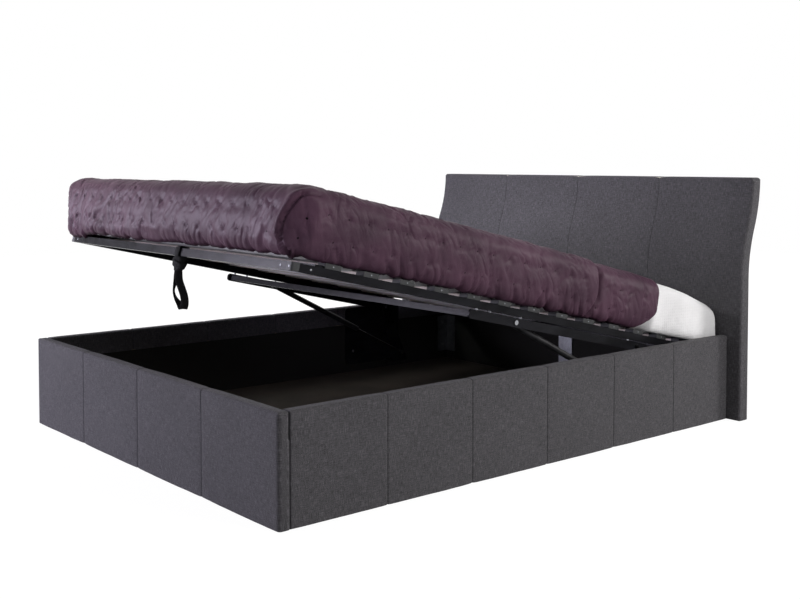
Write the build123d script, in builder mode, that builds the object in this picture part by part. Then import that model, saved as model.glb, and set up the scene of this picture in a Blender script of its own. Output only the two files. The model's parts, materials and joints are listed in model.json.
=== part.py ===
from build123d import *
import math
import os

# An upholstered ottoman bed: four covered panels make a storage well, and a hinged steel frame
# with sprung slats carries the mattress over it. Millimetres, +Z up, +Y from the foot to the head.
# The bed stands with its lift frame partly open.
# The origin is at the floor, in the middle of the whole bed.

os.makedirs("parts", exist_ok=True)

# Storage box
box_width = 1620.0
box_length = 2040.0
panel_height = 320.0
panel_thickness = 38.0
padding = 8.0
flap_thickness = 3.0
flap_depth = 80.0
panel_corner_radius = 8.0
panel_top_radius = 7.0
foot_seams = 3
side_seams = 5
seam_width = 2.0
seam_depth = 1.0

# Headboard
headboard_overhang = 58.0
headboard_height = 920.0
headboard_thickness = 55.0
headboard_lean = 70.0
headboard_straight = 540.0
headboard_foam_thickness = 17.0
headboard_corner_radius = 20.0
headboard_edge_radius = 9.0
headboard_seams = 3

# Well floor
batten_height = 18.0
batten_width = 45.0
floor_thickness = 6.0
floor_gap = 0.4

# Corner brackets and their bolts
bracket_leg = 60.0
bracket_height = 170.0
bracket_rise = 60.0
bracket_thickness = 3.0
bolt_radius = 4.0
bolt_clearance = 0.1
bolt_head_radius = 7.0
bolt_head_height = 4.0
bolt_grip = 22.0
bolt_height_shares = (0.2, 0.8)

# Plate at the middle of the head end
head_plate_width = 75.0
head_plate_height = 120.0
head_plate_thickness = 4.0
head_plate_rise = 100.0

# Lift frame, measured from its pivot
lift_angle = 13.1
pivot_setback = 441.0
pivot_drop = 6.0
frame_width = 1450.0
frame_foot_reach = 1543.0
frame_head_reach = 400.0
tube_size = 25.0
tube_wall = 1.5
tube_rise = 20.0
connector_length = 26.0
connector_radius = 7.0
spigot_length = 75.0
spigot_clearance = 0.2
frame_screw_radius = 2.0
frame_screw_head_radius = 3.5
frame_screw_head_height = 1.6
frame_screw_length = 7.0
end_screw_setback = 55.0
side_screw_setback = 65.0

# Lift arms
arm_depth = 30.0
arm_thickness = 8.0
arm_foot_reach = 850.0
arm_head_reach = 60.0
arm_end_radius = 12.0
cross_tube_size = 20.0
cross_tube_setback = 22.0
spacer_radius = 3.5
spacer_shares = (0.035, 0.1, 0.26, 0.88)

# Pivot and hinge bracket
pin_radius = 5.0
pin_clearance = 0.05
pin_head_radius = 8.0
pin_head_height = 5.0
collar_radius = 7.0
pin_play = 0.4
hinge_gap = 4.0
hinge_plate_thickness = 4.0
hinge_plate_foot_reach = 185.0
hinge_plate_margin = 42.0
hinge_plate_radius = 20.0
upright_top_radius = 17.0
upright_foot_radius = 22.0
hinge_screw_radius = 3.0
hinge_screw_head_radius = 6.0
hinge_screw_head_height = 3.0
hinge_screw_grip = 20.0
hinge_screw_inset = 42.0
hinge_screw_drop = 86.0
hinge_screw_lift = 60.0

# Gas struts
strut_arm_reach = 638.0
strut_foot_setback = 85.0
strut_foot_drop = 215.0
strut_offset = 23.0
strut_radius = 11.0
strut_wall = 1.5
strut_length = 500.0
strut_neck_length = 18.0
strut_neck_radius = 6.0
strut_cap_length = 12.0
rod_radius = 4.0
rod_length = 400.0
eye_radius = 11.0
eye_thickness = 10.0

# Slats and their holders
slat_count = 13
first_slat_setback = 139.0
last_slat_setback = 124.0
slat_width = 52.0
slat_thickness = 8.0
slat_bow = 4.0
slat_bearing = 20.0
slat_play = 0.3
holder_length = 57.0
holder_height = 15.0
holder_reach = 35.0
holder_lip = 2.0
holder_base = 2.5
rivet_radius = 1.5
rivet_head_radius = 2.5
rivet_head_height = 1.0
rivet_length = 5.0
foot_bar_width = 28.0
foot_bar_thickness = 6.0
foot_bar_setback = 80.0
foot_bar_end_gap = 5.0

# Pull strap
strap_place = 88.0
webbing_width = 25.0
webbing_thickness = 2.2
hitch_thickness = 3.0
hitch_play = 0.3
knot_width = 28.0
knot_depth = 26.0
knot_height = 34.0
knot_radius = 7.0
strap_length = 133.0
strap_loop_radius = 9.0
strap_neck_radius = 5.0
strap_neck_gap = 0.3

# Mattress and quilt
mattress_width = 1500.0
mattress_length = 2000.0
mattress_thickness = 185.0
mattress_crown = 5.0
mattress_edge_radius = 24.0
mattress_corner_radius = 34.0
mattress_head_radius = 75.0
headboard_clearance = 11.0
soft_gap = 0.3
quilt_thickness = 22.0
quilt_edge_radius = 40.0
quilt_side_radius = 32.0
quilt_hem_drop = 2.0
quilt_head_reach = 50.0
quilt_fold_reach = 328.0
quilt_fold_step = 7.0
tuft_pitch = 118.0
tuft_radius = 22.0
tuft_depth = 6.0
tuft_row_shares = (0.3, 0.72)

# Places worked out from the sizes
overrun = panel_thickness
overall_length = box_length + headboard_thickness + headboard_lean
half_width = box_width / 2
foot_face = -overall_length / 2
head_face = foot_face + box_length
headboard_half_width = half_width + headboard_overhang
well_half_width = half_width - panel_thickness
well_foot = foot_face + panel_thickness
well_head = head_face - flap_thickness
lining_top = panel_height - flap_depth
lining_half_width = well_half_width + flap_thickness
sides = ((1, "right"), (-1, "left"))

pivot_y = head_face - pivot_setback
pivot_z = panel_height - pivot_drop
slope = math.radians(lift_angle)
lift = Plane(
    origin=(0, pivot_y, pivot_z),
    x_dir=(1, 0, 0),
    z_dir=(0, math.sin(slope), math.cos(slope)),
)
frame_half_width = frame_width / 2
tube_top = tube_rise + tube_size
tube_middle = tube_rise + tube_size / 2
arm_inner = frame_half_width - arm_thickness
holder_top = tube_top + holder_height
slat_base = tube_top + holder_base
slat_half_length = frame_half_width - holder_reach + slat_bearing
slat_run = frame_foot_reach + frame_head_reach - first_slat_setback - last_slat_setback
slat_pitch = slat_run / (slat_count - 1)
slat_places = [
    n * slat_pitch + first_slat_setback - frame_foot_reach for n in range(slat_count)
]

strut_centre = arm_inner - strut_offset
strut_top = lift.from_local_coords(Vector(0, -strut_arm_reach, 0))
strut_foot = Vector(0, pivot_y + strut_foot_setback, pivot_z - strut_foot_drop)
strut_run = strut_foot - strut_top
strut_span = strut_run.length
strut_line = strut_run.normalized()
strut = Plane(origin=strut_top, x_dir=(1, 0, 0), z_dir=(0, -strut_line.Z, strut_line.Y))

upright_outer = arm_inner - hinge_gap
upright_inner = upright_outer - hinge_plate_thickness
plate_face = well_half_width - hinge_plate_thickness
plate_foot = pivot_y - hinge_plate_foot_reach
plate_head = strut_foot.Y + hinge_plate_margin
plate_base = strut_foot.Z - hinge_plate_margin

mattress_base = holder_top + soft_gap
mattress_top = mattress_base + mattress_thickness
mattress_reach = pivot_setback - headboard_clearance
mattress_foot = math.sqrt(mattress_reach**2 - mattress_base**2) - mattress_length
quilt_foot = mattress_foot - quilt_thickness
quilt_hem = mattress_base - quilt_hem_drop
quilt_top = mattress_top + quilt_thickness
quilt_half_width = mattress_width / 2 + quilt_thickness


def keep(piece, name):
    """Label a finished piece and write its file."""
    piece.part.label = name
    export_step(piece.part, f"parts/{name}.step")


def block(corner, opposite, mode=Mode.ADD):
    """A box between two opposite corners, in the plane of the part being built."""
    middle = [(a + b) / 2 for a, b in zip(corner, opposite)]
    size = [abs(b - a) for a, b in zip(corner, opposite)]
    with Locations(tuple(middle)):
        Box(*size, mode=mode)


def cross_pin(start, end, along, up, radius, mode=Mode.ADD):
    """A round bar that runs across the bed, from one place across it to another."""
    with Locations(((start + end) / 2, along, up)):
        Cylinder(radius, abs(end - start), rotation=(0, 90, 0), mode=mode)


def long_pin(across, start, end, up, radius, mode=Mode.ADD):
    """A round bar that runs along the plane of the part being built."""
    with Locations((across, (start + end) / 2, up)):
        Cylinder(radius, abs(end - start), rotation=(90, 0, 0), mode=mode)


def screw_shanks(places, radius, mode=Mode.ADD):
    """The shanks of a list of screws, from the seat of each head to its point."""
    for (across, along, up), (x_way, y_way), length in places:
        if x_way:
            cross_pin(across, across + x_way * length, along, up, radius, mode)
        else:
            long_pin(across, along, along + y_way * length, up, radius, mode)


def screw_heads(places, radius, height):
    """The heads of a list of screws."""
    for (across, along, up), (x_way, y_way), length in places:
        if x_way:
            cross_pin(across - x_way * height, across, along, up, radius)
        else:
            long_pin(across, along - y_way * height, along, up, radius)


def even_places(start, end, count):
    """Places that divide a length into equal panels."""
    return [start + (end - start) * (n + 1) / (count + 1) for n in range(count)]


def lift_side(across):
    """The plane of a side view of the lift frame: along, then up, at one place across it."""
    return Plane(
        origin=lift.from_local_coords(Vector(across, 0, 0)), x_dir=lift.y_dir, z_dir=lift.x_dir
    )


def lift_end(along):
    """The plane of an end view of the lift frame: across, then up, at one place along it."""
    return Plane(
        origin=lift.from_local_coords(Vector(0, along, 0)), x_dir=lift.x_dir, z_dir=-lift.y_dir
    )


# Bolts of the corner brackets: two in each leg, through the lining into the boards
def corner_bolts():
    """Place, direction and length of each bolt."""
    leg_middle = (bracket_leg + bracket_thickness) / 2
    head_grip = bolt_grip + flap_thickness + headboard_foam_thickness
    places = []
    for side, word in sides:
        inner = side * (well_half_width - bracket_thickness)
        across = side * (well_half_width - leg_middle)
        for share in bolt_height_shares:
            height = bracket_rise + bracket_height * share
            for end in (well_foot + leg_middle, well_head - leg_middle):
                places.append(((inner, end, height), (side, 0), bolt_grip))
            places.append(((across, well_foot + bracket_thickness, height), (0, -1), bolt_grip))
            places.append(((across, well_head - bracket_thickness, height), (0, 1), head_grip))
    return places


# Screws of the hinge brackets: four in each, through the lining into the side boards
def hinge_screws():
    """Place, direction and length of each screw."""
    places = []
    for side, word in sides:
        for along in (plate_foot + hinge_screw_inset, plate_head - hinge_screw_inset):
            for height in (pivot_z - hinge_screw_drop, plate_base + hinge_screw_lift):
                places.append(((side * plate_face, along, height), (side, 0), hinge_screw_grip))
    return places


corner_bolt_places = corner_bolts()
hinge_screw_places = hinge_screws()


# Headboard: a board with foam on its front, inside one cover
def leaning_slab(front, back, top, half, corner):
    """An upright slab with the headboard's S-shaped lean, between two depths behind its face."""
    bend_height = (headboard_straight + headboard_height) / 2
    with BuildPart() as slab:
        with BuildSketch(Plane.YZ.offset(-half)):
            with BuildLine():
                for depth in (front, back):
                    face = head_face + depth
                    bend = (face + headboard_lean / 2, bend_height)
                    tip = (face + headboard_lean, headboard_height)
                    Line((face, 0), (face, headboard_straight))
                    lower = TangentArc((face, headboard_straight), bend, tangent=(0, 1))
                    TangentArc(bend, tip, tangent=lower % 1)
                Line((head_face + front, 0), (head_face + back, 0))
                Line(
                    (head_face + front + headboard_lean, headboard_height),
                    (head_face + back + headboard_lean, headboard_height),
                )
            make_face()
        extrude(amount=2 * half)
        if top < headboard_height:
            block(
                (-half, head_face, top),
                (half, head_face + headboard_lean + headboard_thickness, headboard_height),
                mode=Mode.SUBTRACT,
            )
        fillet(slab.edges().filter_by(Axis.Y).group_by(Axis.Z)[-1], corner)
    return slab.part


headboard_inside_top = headboard_height - flap_thickness
headboard_inside_half = headboard_half_width - flap_thickness
headboard_inside_corner = headboard_corner_radius - flap_thickness
foam_front = flap_thickness
foam_back = flap_thickness + headboard_foam_thickness
board_back = headboard_thickness - flap_thickness

with BuildPart() as headboard_cover:
    add(
        leaning_slab(
            0, headboard_thickness, headboard_height, headboard_half_width, headboard_corner_radius
        )
    )
    rim = [
        edge
        for face in headboard_cover.faces()
        if abs(face.normal_at().Y) < face.normal_at().cross(Vector(0, 1, 0)).length / 2
        for edge in face.edges()
    ]
    rim_edges = ShapeList(rim).filter_by(Axis.Y, reverse=True)
    fillet(rim_edges, headboard_edge_radius)
    add(
        leaning_slab(
            foam_front,
            board_back,
            headboard_inside_top,
            headboard_inside_half,
            headboard_inside_corner,
        ),
        mode=Mode.SUBTRACT,
    )
    screw_shanks(corner_bolt_places, bolt_radius + bolt_clearance, Mode.SUBTRACT)
    for across in even_places(-headboard_half_width, headboard_half_width, headboard_seams):
        block(
            (across - seam_width / 2, head_face, 0),
            (across + seam_width / 2, head_face + seam_depth, headboard_straight),
            mode=Mode.SUBTRACT,
        )
keep(headboard_cover, "headboard_cover")

with BuildPart() as headboard_foam:
    add(
        leaning_slab(
            foam_front,
            foam_back,
            headboard_inside_top,
            headboard_inside_half,
            headboard_inside_corner,
        )
    )
    screw_shanks(corner_bolt_places, bolt_radius + bolt_clearance, Mode.SUBTRACT)
keep(headboard_foam, "headboard_foam")

with BuildPart() as headboard_board:
    add(
        leaning_slab(
            foam_back,
            board_back,
            headboard_inside_top,
            headboard_inside_half,
            headboard_inside_corner,
        )
    )
    screw_shanks(corner_bolt_places, bolt_radius + bolt_clearance, Mode.SUBTRACT)
keep(headboard_board, "headboard_board")


# Foot panel: a board in a padded cover, whose flap turns down inside the well
foot_board_corner = (-half_width + padding, foot_face + padding, flap_thickness)
foot_board_opposite = (half_width - padding, well_foot - flap_thickness, panel_height - padding)

with BuildPart() as foot_panel_cover:
    block((-half_width, foot_face, 0), (half_width, well_foot, panel_height))
    outer_face = foot_panel_cover.faces().sort_by(Axis.Y)[0]
    fillet(outer_face.edges().filter_by(Axis.Z), panel_corner_radius)
    fillet(foot_panel_cover.faces().sort_by(Axis.Z)[-1].edges(), panel_top_radius)
    block(foot_board_corner, foot_board_opposite, mode=Mode.SUBTRACT)
    block(
        (-lining_half_width, well_foot - flap_thickness, flap_thickness),
        (lining_half_width, well_foot, lining_top),
        mode=Mode.SUBTRACT,
    )
    for across in even_places(-half_width, half_width, foot_seams):
        block(
            (across - seam_width / 2, foot_face, 0),
            (across + seam_width / 2, foot_face + seam_depth, panel_height),
            mode=Mode.SUBTRACT,
        )
keep(foot_panel_cover, "foot_panel_cover")

with BuildPart() as foot_panel_board:
    block(foot_board_corner, foot_board_opposite)
    screw_shanks(corner_bolt_places, bolt_radius + bolt_clearance, Mode.SUBTRACT)
keep(foot_panel_board, "foot_panel_board")

# Side panels: the same build, between the foot panel and the headboard
for side, word in sides:
    board_corner = (side * lining_half_width, well_foot + flap_thickness, flap_thickness)
    board_opposite = (side * (half_width - padding), well_head, panel_height - padding)

    with BuildPart() as side_panel_cover:
        block((side * well_half_width, well_foot, 0), (side * half_width, head_face, panel_height))
        top_face = side_panel_cover.faces().sort_by(Axis.Z)[-1]
        fillet(top_face.edges().filter_by(Axis.Y), panel_top_radius)
        block(board_corner, board_opposite, mode=Mode.SUBTRACT)
        block(
            (side * well_half_width, well_foot, flap_thickness),
            (side * lining_half_width, head_face, lining_top),
            mode=Mode.SUBTRACT,
        )
        for along in even_places(well_foot, head_face, side_seams):
            block(
                (side * (half_width - seam_depth), along - seam_width / 2, 0),
                (side * half_width, along + seam_width / 2, panel_height),
                mode=Mode.SUBTRACT,
            )
    keep(side_panel_cover, f"side_panel_cover_{word}")

    with BuildPart() as side_panel_board:
        block(board_corner, board_opposite)
        screw_shanks(corner_bolt_places, bolt_radius + bolt_clearance, Mode.SUBTRACT)
        screw_shanks(hinge_screw_places, hinge_screw_radius + bolt_clearance, Mode.SUBTRACT)
    keep(side_panel_board, f"side_panel_board_{word}")

# Well: a lining round the walls, battens on the ground and a floor in two halves
with BuildPart() as well_lining:
    block(
        (-lining_half_width, well_foot - flap_thickness, flap_thickness),
        (lining_half_width, head_face, lining_top),
    )
    block(
        (-well_half_width, well_foot, flap_thickness),
        (well_half_width, well_head, lining_top),
        mode=Mode.SUBTRACT,
    )
    screw_shanks(corner_bolt_places, bolt_radius + bolt_clearance, Mode.SUBTRACT)
    screw_shanks(hinge_screw_places, hinge_screw_radius + bolt_clearance, Mode.SUBTRACT)
keep(well_lining, "well_lining")

floor_half_width = well_half_width - floor_gap
with BuildPart() as floor_battens:
    for across in (-floor_half_width + batten_width / 2, 0, floor_half_width - batten_width / 2):
        block(
            (across - batten_width / 2, well_foot + floor_gap, 0),
            (across + batten_width / 2, well_head - floor_gap, batten_height),
        )
keep(floor_battens, "floor_battens")

for side, word in sides:
    with BuildPart() as floor_panel:
        block(
            (side * floor_gap / 2, well_foot + floor_gap, batten_height),
            (side * floor_half_width, well_head - floor_gap, batten_height + floor_thickness),
        )
    keep(floor_panel, f"floor_panel_{word}")

# Steel angles that tie the panels together, and their bolts
with BuildPart() as corner_brackets:
    for side, word in sides:
        for corner, inward in ((well_foot, 1), (well_head, -1)):
            wall = side * well_half_width
            low = bracket_rise
            high = bracket_rise + bracket_height
            block(
                (wall, corner, low),
                (wall - side * bracket_thickness, corner + inward * bracket_leg, high),
            )
            block(
                (wall, corner, low),
                (wall - side * bracket_leg, corner + inward * bracket_thickness, high),
            )
    screw_shanks(corner_bolt_places, bolt_radius + bolt_clearance, Mode.SUBTRACT)
keep(corner_brackets, "corner_brackets")

with BuildPart() as panel_bolts:
    screw_shanks(corner_bolt_places, bolt_radius)
    screw_heads(corner_bolt_places, bolt_head_radius, bolt_head_height)
keep(panel_bolts, "panel_bolts")

with BuildPart() as head_centre_plate:
    block(
        (-head_plate_width / 2, well_head - head_plate_thickness, head_plate_rise),
        (head_plate_width / 2, well_head, head_plate_rise + head_plate_height),
    )
keep(head_centre_plate, "head_centre_plate")

# Hinge brackets: a plate on the side panel and an upright for the pivot and the strut's foot
for side, word in sides:
    pin_hole = pin_radius + pin_clearance
    with BuildPart() as hinge_bracket:
        block((side * plate_face, plate_foot, plate_base), (side * well_half_width, plate_head, pivot_z))
        fillet(hinge_bracket.edges().filter_by(Axis.X), hinge_plate_radius)
        screw_shanks(hinge_screw_places, hinge_screw_radius + bolt_clearance, Mode.SUBTRACT)
        with BuildSketch(Plane.YZ.offset(side * upright_inner)):
            with Locations((pivot_y, pivot_z)):
                Circle(upright_top_radius)
            with Locations((strut_foot.Y, strut_foot.Z)):
                Circle(upright_foot_radius)
            with Locations((strut_foot.Y, plate_base + hinge_plate_thickness)):
                Rectangle(2 * hinge_plate_margin, 2 * hinge_plate_thickness)
            make_hull()
            with Locations((pivot_y, pivot_z), (strut_foot.Y, strut_foot.Z)):
                Circle(pin_radius, mode=Mode.SUBTRACT)
        extrude(amount=side * hinge_plate_thickness)
        block(
            (side * upright_inner, strut_foot.Y - hinge_plate_margin, plate_base),
            (
                side * well_half_width,
                plate_head - hinge_plate_radius,
                plate_base + hinge_plate_thickness,
            ),
        )
    keep(hinge_bracket, f"hinge_bracket_{word}")

with BuildPart() as hinge_bracket_screws:
    screw_shanks(hinge_screw_places, hinge_screw_radius)
    screw_heads(hinge_screw_places, hinge_screw_head_radius, hinge_screw_head_height)
keep(hinge_bracket_screws, "hinge_bracket_screws")

with BuildPart() as pivot_bolts:
    for side, word in sides:
        seat = frame_half_width + pin_play
        nut_end = upright_inner - pin_head_height
        cross_pin(side * nut_end, side * (seat + pin_head_height), pivot_y, pivot_z, pin_radius)
        cross_pin(side * seat, side * (seat + pin_head_height), pivot_y, pivot_z, pin_head_radius)
        cross_pin(
            side * upright_outer, side * (arm_inner - pin_play), pivot_y, pivot_z, pin_head_radius
        )
        cross_pin(side * nut_end, side * upright_inner, pivot_y, pivot_z, pin_head_radius)
keep(pivot_bolts, "pivot_bolts")

# Struts' lower studs, fixed in the uprights
eye_outer = strut_centre + eye_thickness / 2
eye_inner = strut_centre - eye_thickness / 2
with BuildPart() as strut_studs_lower:
    for side, word in sides:
        place = (strut_foot.Y, strut_foot.Z)
        nut_end = upright_outer + hinge_plate_thickness
        clip_start = eye_inner - pin_play
        clip_end = clip_start - hinge_plate_thickness / 2
        cross_pin(side * clip_end, side * nut_end, *place, pin_radius)
        cross_pin(side * upright_outer, side * nut_end, *place, pin_head_radius)
        cross_pin(side * (eye_outer + pin_play), side * upright_inner, *place, collar_radius)
        cross_pin(side * clip_end, side * clip_start, *place, collar_radius)
keep(strut_studs_lower, "strut_studs_lower")


# Lift frame: square tubes on plastic corner connectors
def frame_screws_at(side, end):
    """Place, direction and length of the three screws of one corner."""
    outer = frame_head_reach if end > 0 else -frame_foot_reach
    first = frame_half_width - end_screw_setback
    second = frame_half_width - connector_length / 2
    return [
        ((side * first, outer, tube_middle), (0, -end), frame_screw_length),
        ((side * second, outer, tube_middle), (0, -end), frame_screw_length),
        (
            (side * frame_half_width, outer - end * side_screw_setback, tube_middle),
            (-side, 0),
            frame_screw_length,
        ),
    ]


frame_ends = ((-1, "foot"), (1, "head"))
frame_screw_places = [
    place for side, word in sides for end, name in frame_ends for place in frame_screws_at(side, end)
]
frame_screw_hole = frame_screw_radius + bolt_clearance / 2
spigot_half = tube_size / 2 - tube_wall - spigot_clearance

for end, name in frame_ends:
    outer = frame_head_reach if end > 0 else -frame_foot_reach
    reach = frame_half_width - connector_length
    with BuildPart(lift) as end_tube:
        block((-reach, outer, tube_rise), (reach, outer - end * tube_size, tube_top))
        block(
            (-reach, outer - end * tube_wall, tube_rise + tube_wall),
            (reach, outer - end * (tube_size - tube_wall), tube_top - tube_wall),
            mode=Mode.SUBTRACT,
        )
        screw_shanks(frame_screw_places, frame_screw_hole, Mode.SUBTRACT)
    keep(end_tube, f"lift_{name}_tube")

for side, word in sides:
    start = connector_length - frame_foot_reach
    finish = frame_head_reach - connector_length
    with BuildPart(lift) as side_tube:
        block(
            (side * frame_half_width, start, tube_rise),
            (side * (frame_half_width - tube_size), finish, tube_top),
        )
        block(
            (side * (frame_half_width - tube_wall), start, tube_rise + tube_wall),
            (side * (frame_half_width - tube_size + tube_wall), finish, tube_top - tube_wall),
            mode=Mode.SUBTRACT,
        )
        screw_shanks(frame_screw_places, frame_screw_hole, Mode.SUBTRACT)
    keep(side_tube, f"lift_side_tube_{word}")

for side, word in sides:
    for end, name in frame_ends:
        outer_x = side * frame_half_width
        outer_y = frame_head_reach if end > 0 else -frame_foot_reach
        inner_x = outer_x - side * connector_length
        inner_y = outer_y - end * connector_length
        middle_x = outer_x - side * tube_size / 2
        middle_y = outer_y - end * tube_size / 2
        with BuildPart(lift) as connector:
            block((inner_x, inner_y, tube_rise), (outer_x, outer_y, tube_top))
            outer_corner = lift.from_local_coords(Vector(outer_x, outer_y, tube_middle))
            fillet(connector.edges().sort_by_distance(outer_corner)[0], connector_radius)
            block(
                (inner_x, middle_y - spigot_half, tube_middle - spigot_half),
                (
                    inner_x - side * spigot_length,
                    middle_y + spigot_half,
                    tube_middle + spigot_half,
                ),
            )
            block(
                (middle_x - spigot_half, inner_y, tube_middle - spigot_half),
                (
                    middle_x + spigot_half,
                    inner_y - end * spigot_length,
                    tube_middle + spigot_half,
                ),
            )
            screw_shanks(frame_screw_places, frame_screw_hole, Mode.SUBTRACT)
        keep(connector, f"corner_connector_{name}_{word}")

with BuildPart(lift) as frame_screws:
    screw_shanks(frame_screw_places, frame_screw_radius)
    screw_heads(frame_screw_places, frame_screw_head_radius, frame_screw_head_height)
keep(frame_screws, "frame_screws")

# Lift arms: flat bars under the side tubes, joined by a cross tube
arm_length = arm_foot_reach + arm_head_reach
for side, word in sides:
    with BuildPart() as lift_arm:
        with BuildSketch(lift_side(side * arm_inner)):
            with Locations(((arm_head_reach - arm_foot_reach) / 2, 0)):
                RectangleRounded(arm_length, arm_depth, arm_end_radius)
            with Locations((0, 0), (-strut_arm_reach, 0)):
                Circle(pin_radius + pin_clearance, mode=Mode.SUBTRACT)
        extrude(amount=side * arm_thickness)
    keep(lift_arm, f"lift_arm_{word}")

with BuildPart(lift) as arm_cross_tube:
    near = cross_tube_setback - arm_foot_reach - cross_tube_size / 2
    far = near + cross_tube_size
    half = cross_tube_size / 2
    block((-arm_inner, near, -half), (arm_inner, far, half))
    block(
        (-arm_inner, near + tube_wall, tube_wall - half),
        (arm_inner, far - tube_wall, half - tube_wall),
        mode=Mode.SUBTRACT,
    )
keep(arm_cross_tube, "arm_cross_tube")

with BuildPart(lift) as arm_spacers:
    for side, word in sides:
        for share in spacer_shares:
            middle = (arm_depth / 2 + tube_rise) / 2
            with Locations(
                (side * (arm_inner + arm_thickness / 2), arm_length * share - arm_foot_reach, middle)
            ):
                Cylinder(spacer_radius, tube_rise - arm_depth / 2)
keep(arm_spacers, "arm_spacers")

with BuildPart(lift) as strut_studs_upper:
    for side, word in sides:
        place = (-strut_arm_reach, 0)
        head_end = frame_half_width + pin_head_height
        clip_start = eye_inner - pin_play
        clip_end = clip_start - hinge_plate_thickness / 2
        cross_pin(side * clip_end, side * head_end, *place, pin_radius)
        cross_pin(side * frame_half_width, side * head_end, *place, pin_head_radius)
        cross_pin(side * (eye_outer + pin_play), side * arm_inner, *place, collar_radius)
        cross_pin(side * clip_end, side * clip_start, *place, collar_radius)
keep(strut_studs_upper, "strut_studs_upper")

# Slats, sprung upwards, in plastic holders on the side tubes
for number, place in enumerate(slat_places, start=1):
    with BuildPart() as slat:
        with BuildSketch(lift_end(place)):
            with BuildLine():
                for height in (slat_base, slat_base + slat_thickness):
                    ThreePointArc(
                        (-slat_half_length, height), (0, height + slat_bow), (slat_half_length, height)
                    )
                for end in (-slat_half_length, slat_half_length):
                    Line((end, slat_base), (end, slat_base + slat_thickness))
            make_face()
        extrude(amount=slat_width / 2, both=True)
    keep(slat, f"slat_{number:02d}")

rivet_up = (tube_top + holder_top) / 2
rivet_places = [
    ((side * (frame_half_width + holder_lip), place, rivet_up), (-side, 0), rivet_length)
    for side, word in sides
    for place in slat_places
]
for side, word in sides:
    with BuildPart(lift) as slat_holders:
        for place in slat_places:
            block(
                (side * (frame_half_width - holder_reach), place - holder_length / 2, tube_top),
                (side * (frame_half_width + holder_lip), place + holder_length / 2, holder_top),
            )
            block(
                (
                    side * (frame_half_width - holder_reach),
                    place - slat_width / 2 - slat_play,
                    slat_base - slat_play,
                ),
                (
                    side * (slat_half_length + slat_play),
                    place + slat_width / 2 + slat_play,
                    slat_base + slat_thickness + 2 * slat_play,
                ),
                mode=Mode.SUBTRACT,
            )
        screw_shanks(rivet_places, rivet_radius + bolt_clearance / 2, Mode.SUBTRACT)
    keep(slat_holders, f"slat_holders_{word}")

with BuildPart(lift) as holder_rivets:
    screw_shanks(rivet_places, rivet_radius)
    screw_heads(rivet_places, rivet_head_radius, rivet_head_height)
keep(holder_rivets, "holder_rivets")

with BuildPart(lift) as foot_cross_bar:
    reach = frame_half_width - foot_bar_end_gap
    start = foot_bar_setback - frame_foot_reach
    block(
        (-reach, start, tube_top),
        (reach, start + foot_bar_width, tube_top + foot_bar_thickness),
    )
keep(foot_cross_bar, "foot_cross_bar")

# Gas struts: a cylinder on each arm and a rod on each hinge bracket
neck_start = (collar_radius + eye_radius) / 2
for side, word in sides:
    across = side * strut_centre
    outer_eye = (side * eye_inner, side * eye_outer)
    with BuildPart(strut) as strut_cylinder:
        cross_pin(*outer_eye, 0, 0, eye_radius)
        long_pin(across, neck_start, strut_neck_length, 0, strut_neck_radius)
        long_pin(across, strut_neck_length, strut_length, 0, strut_radius)
        long_pin(
            across,
            strut_neck_length + strut_cap_length,
            strut_length,
            0,
            strut_radius - strut_wall,
            mode=Mode.SUBTRACT,
        )
        cross_pin(*outer_eye, 0, 0, pin_radius + pin_clearance, mode=Mode.SUBTRACT)
    keep(strut_cylinder, f"strut_cylinder_{word}")

    with BuildPart(strut) as strut_rod:
        cross_pin(*outer_eye, strut_span, 0, eye_radius)
        neck_end = strut_span - neck_start
        long_pin(across, strut_span - rod_length, neck_end, 0, rod_radius)
        long_pin(across, strut_span - strut_neck_length, neck_end, 0, strut_neck_radius)
        cross_pin(*outer_eye, strut_span, 0, pin_radius + pin_clearance, mode=Mode.SUBTRACT)
    keep(strut_rod, f"strut_rod_{word}")

# Pull strap: webbing hitched round the foot tube with a knot, and a loop that hangs from it
hitch_inner = hitch_play
hitch_outer = hitch_play + hitch_thickness
hitch_middle = tube_size / 2 - frame_foot_reach
knot_top = tube_rise - hitch_outer
knot_base = knot_top - knot_height
with BuildPart(lift) as strap_hitch:
    block(
        (strap_place - knot_width / 2, hitch_middle - knot_depth / 2, knot_base),
        (strap_place + knot_width / 2, hitch_middle + knot_depth / 2, knot_top),
    )
    fillet(strap_hitch.edges(), knot_radius)
    block(
        (
            strap_place - webbing_width / 2,
            hitch_middle - tube_size / 2 - hitch_outer,
            tube_rise - hitch_outer,
        ),
        (
            strap_place + webbing_width / 2,
            hitch_middle + tube_size / 2 + hitch_outer,
            tube_top + hitch_outer,
        ),
    )
    block(
        (
            strap_place - webbing_width / 2,
            hitch_middle - tube_size / 2 - hitch_inner,
            tube_rise - hitch_inner,
        ),
        (
            strap_place + webbing_width / 2,
            hitch_middle + tube_size / 2 + hitch_inner,
            tube_top + hitch_inner,
        ),
        mode=Mode.SUBTRACT,
    )
keep(strap_hitch, "strap_hitch")

strap_hinge = lift.from_local_coords(
    Vector(strap_place, hitch_middle, knot_base - strap_neck_gap - strap_neck_radius)
)
strap_loop_drop = strap_length - strap_neck_radius - strap_loop_radius
with BuildPart() as pull_strap:
    with BuildSketch(Plane.YZ.offset(strap_place - webbing_width / 2)):
        with Locations((strap_hinge.Y, strap_hinge.Z)):
            Circle(strap_neck_radius)
        with Locations((strap_hinge.Y, strap_hinge.Z - strap_loop_drop)):
            Circle(strap_loop_radius)
        make_hull()
        offset(amount=-webbing_thickness, mode=Mode.SUBTRACT)
    extrude(amount=webbing_width)
keep(pull_strap, "pull_strap")


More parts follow.
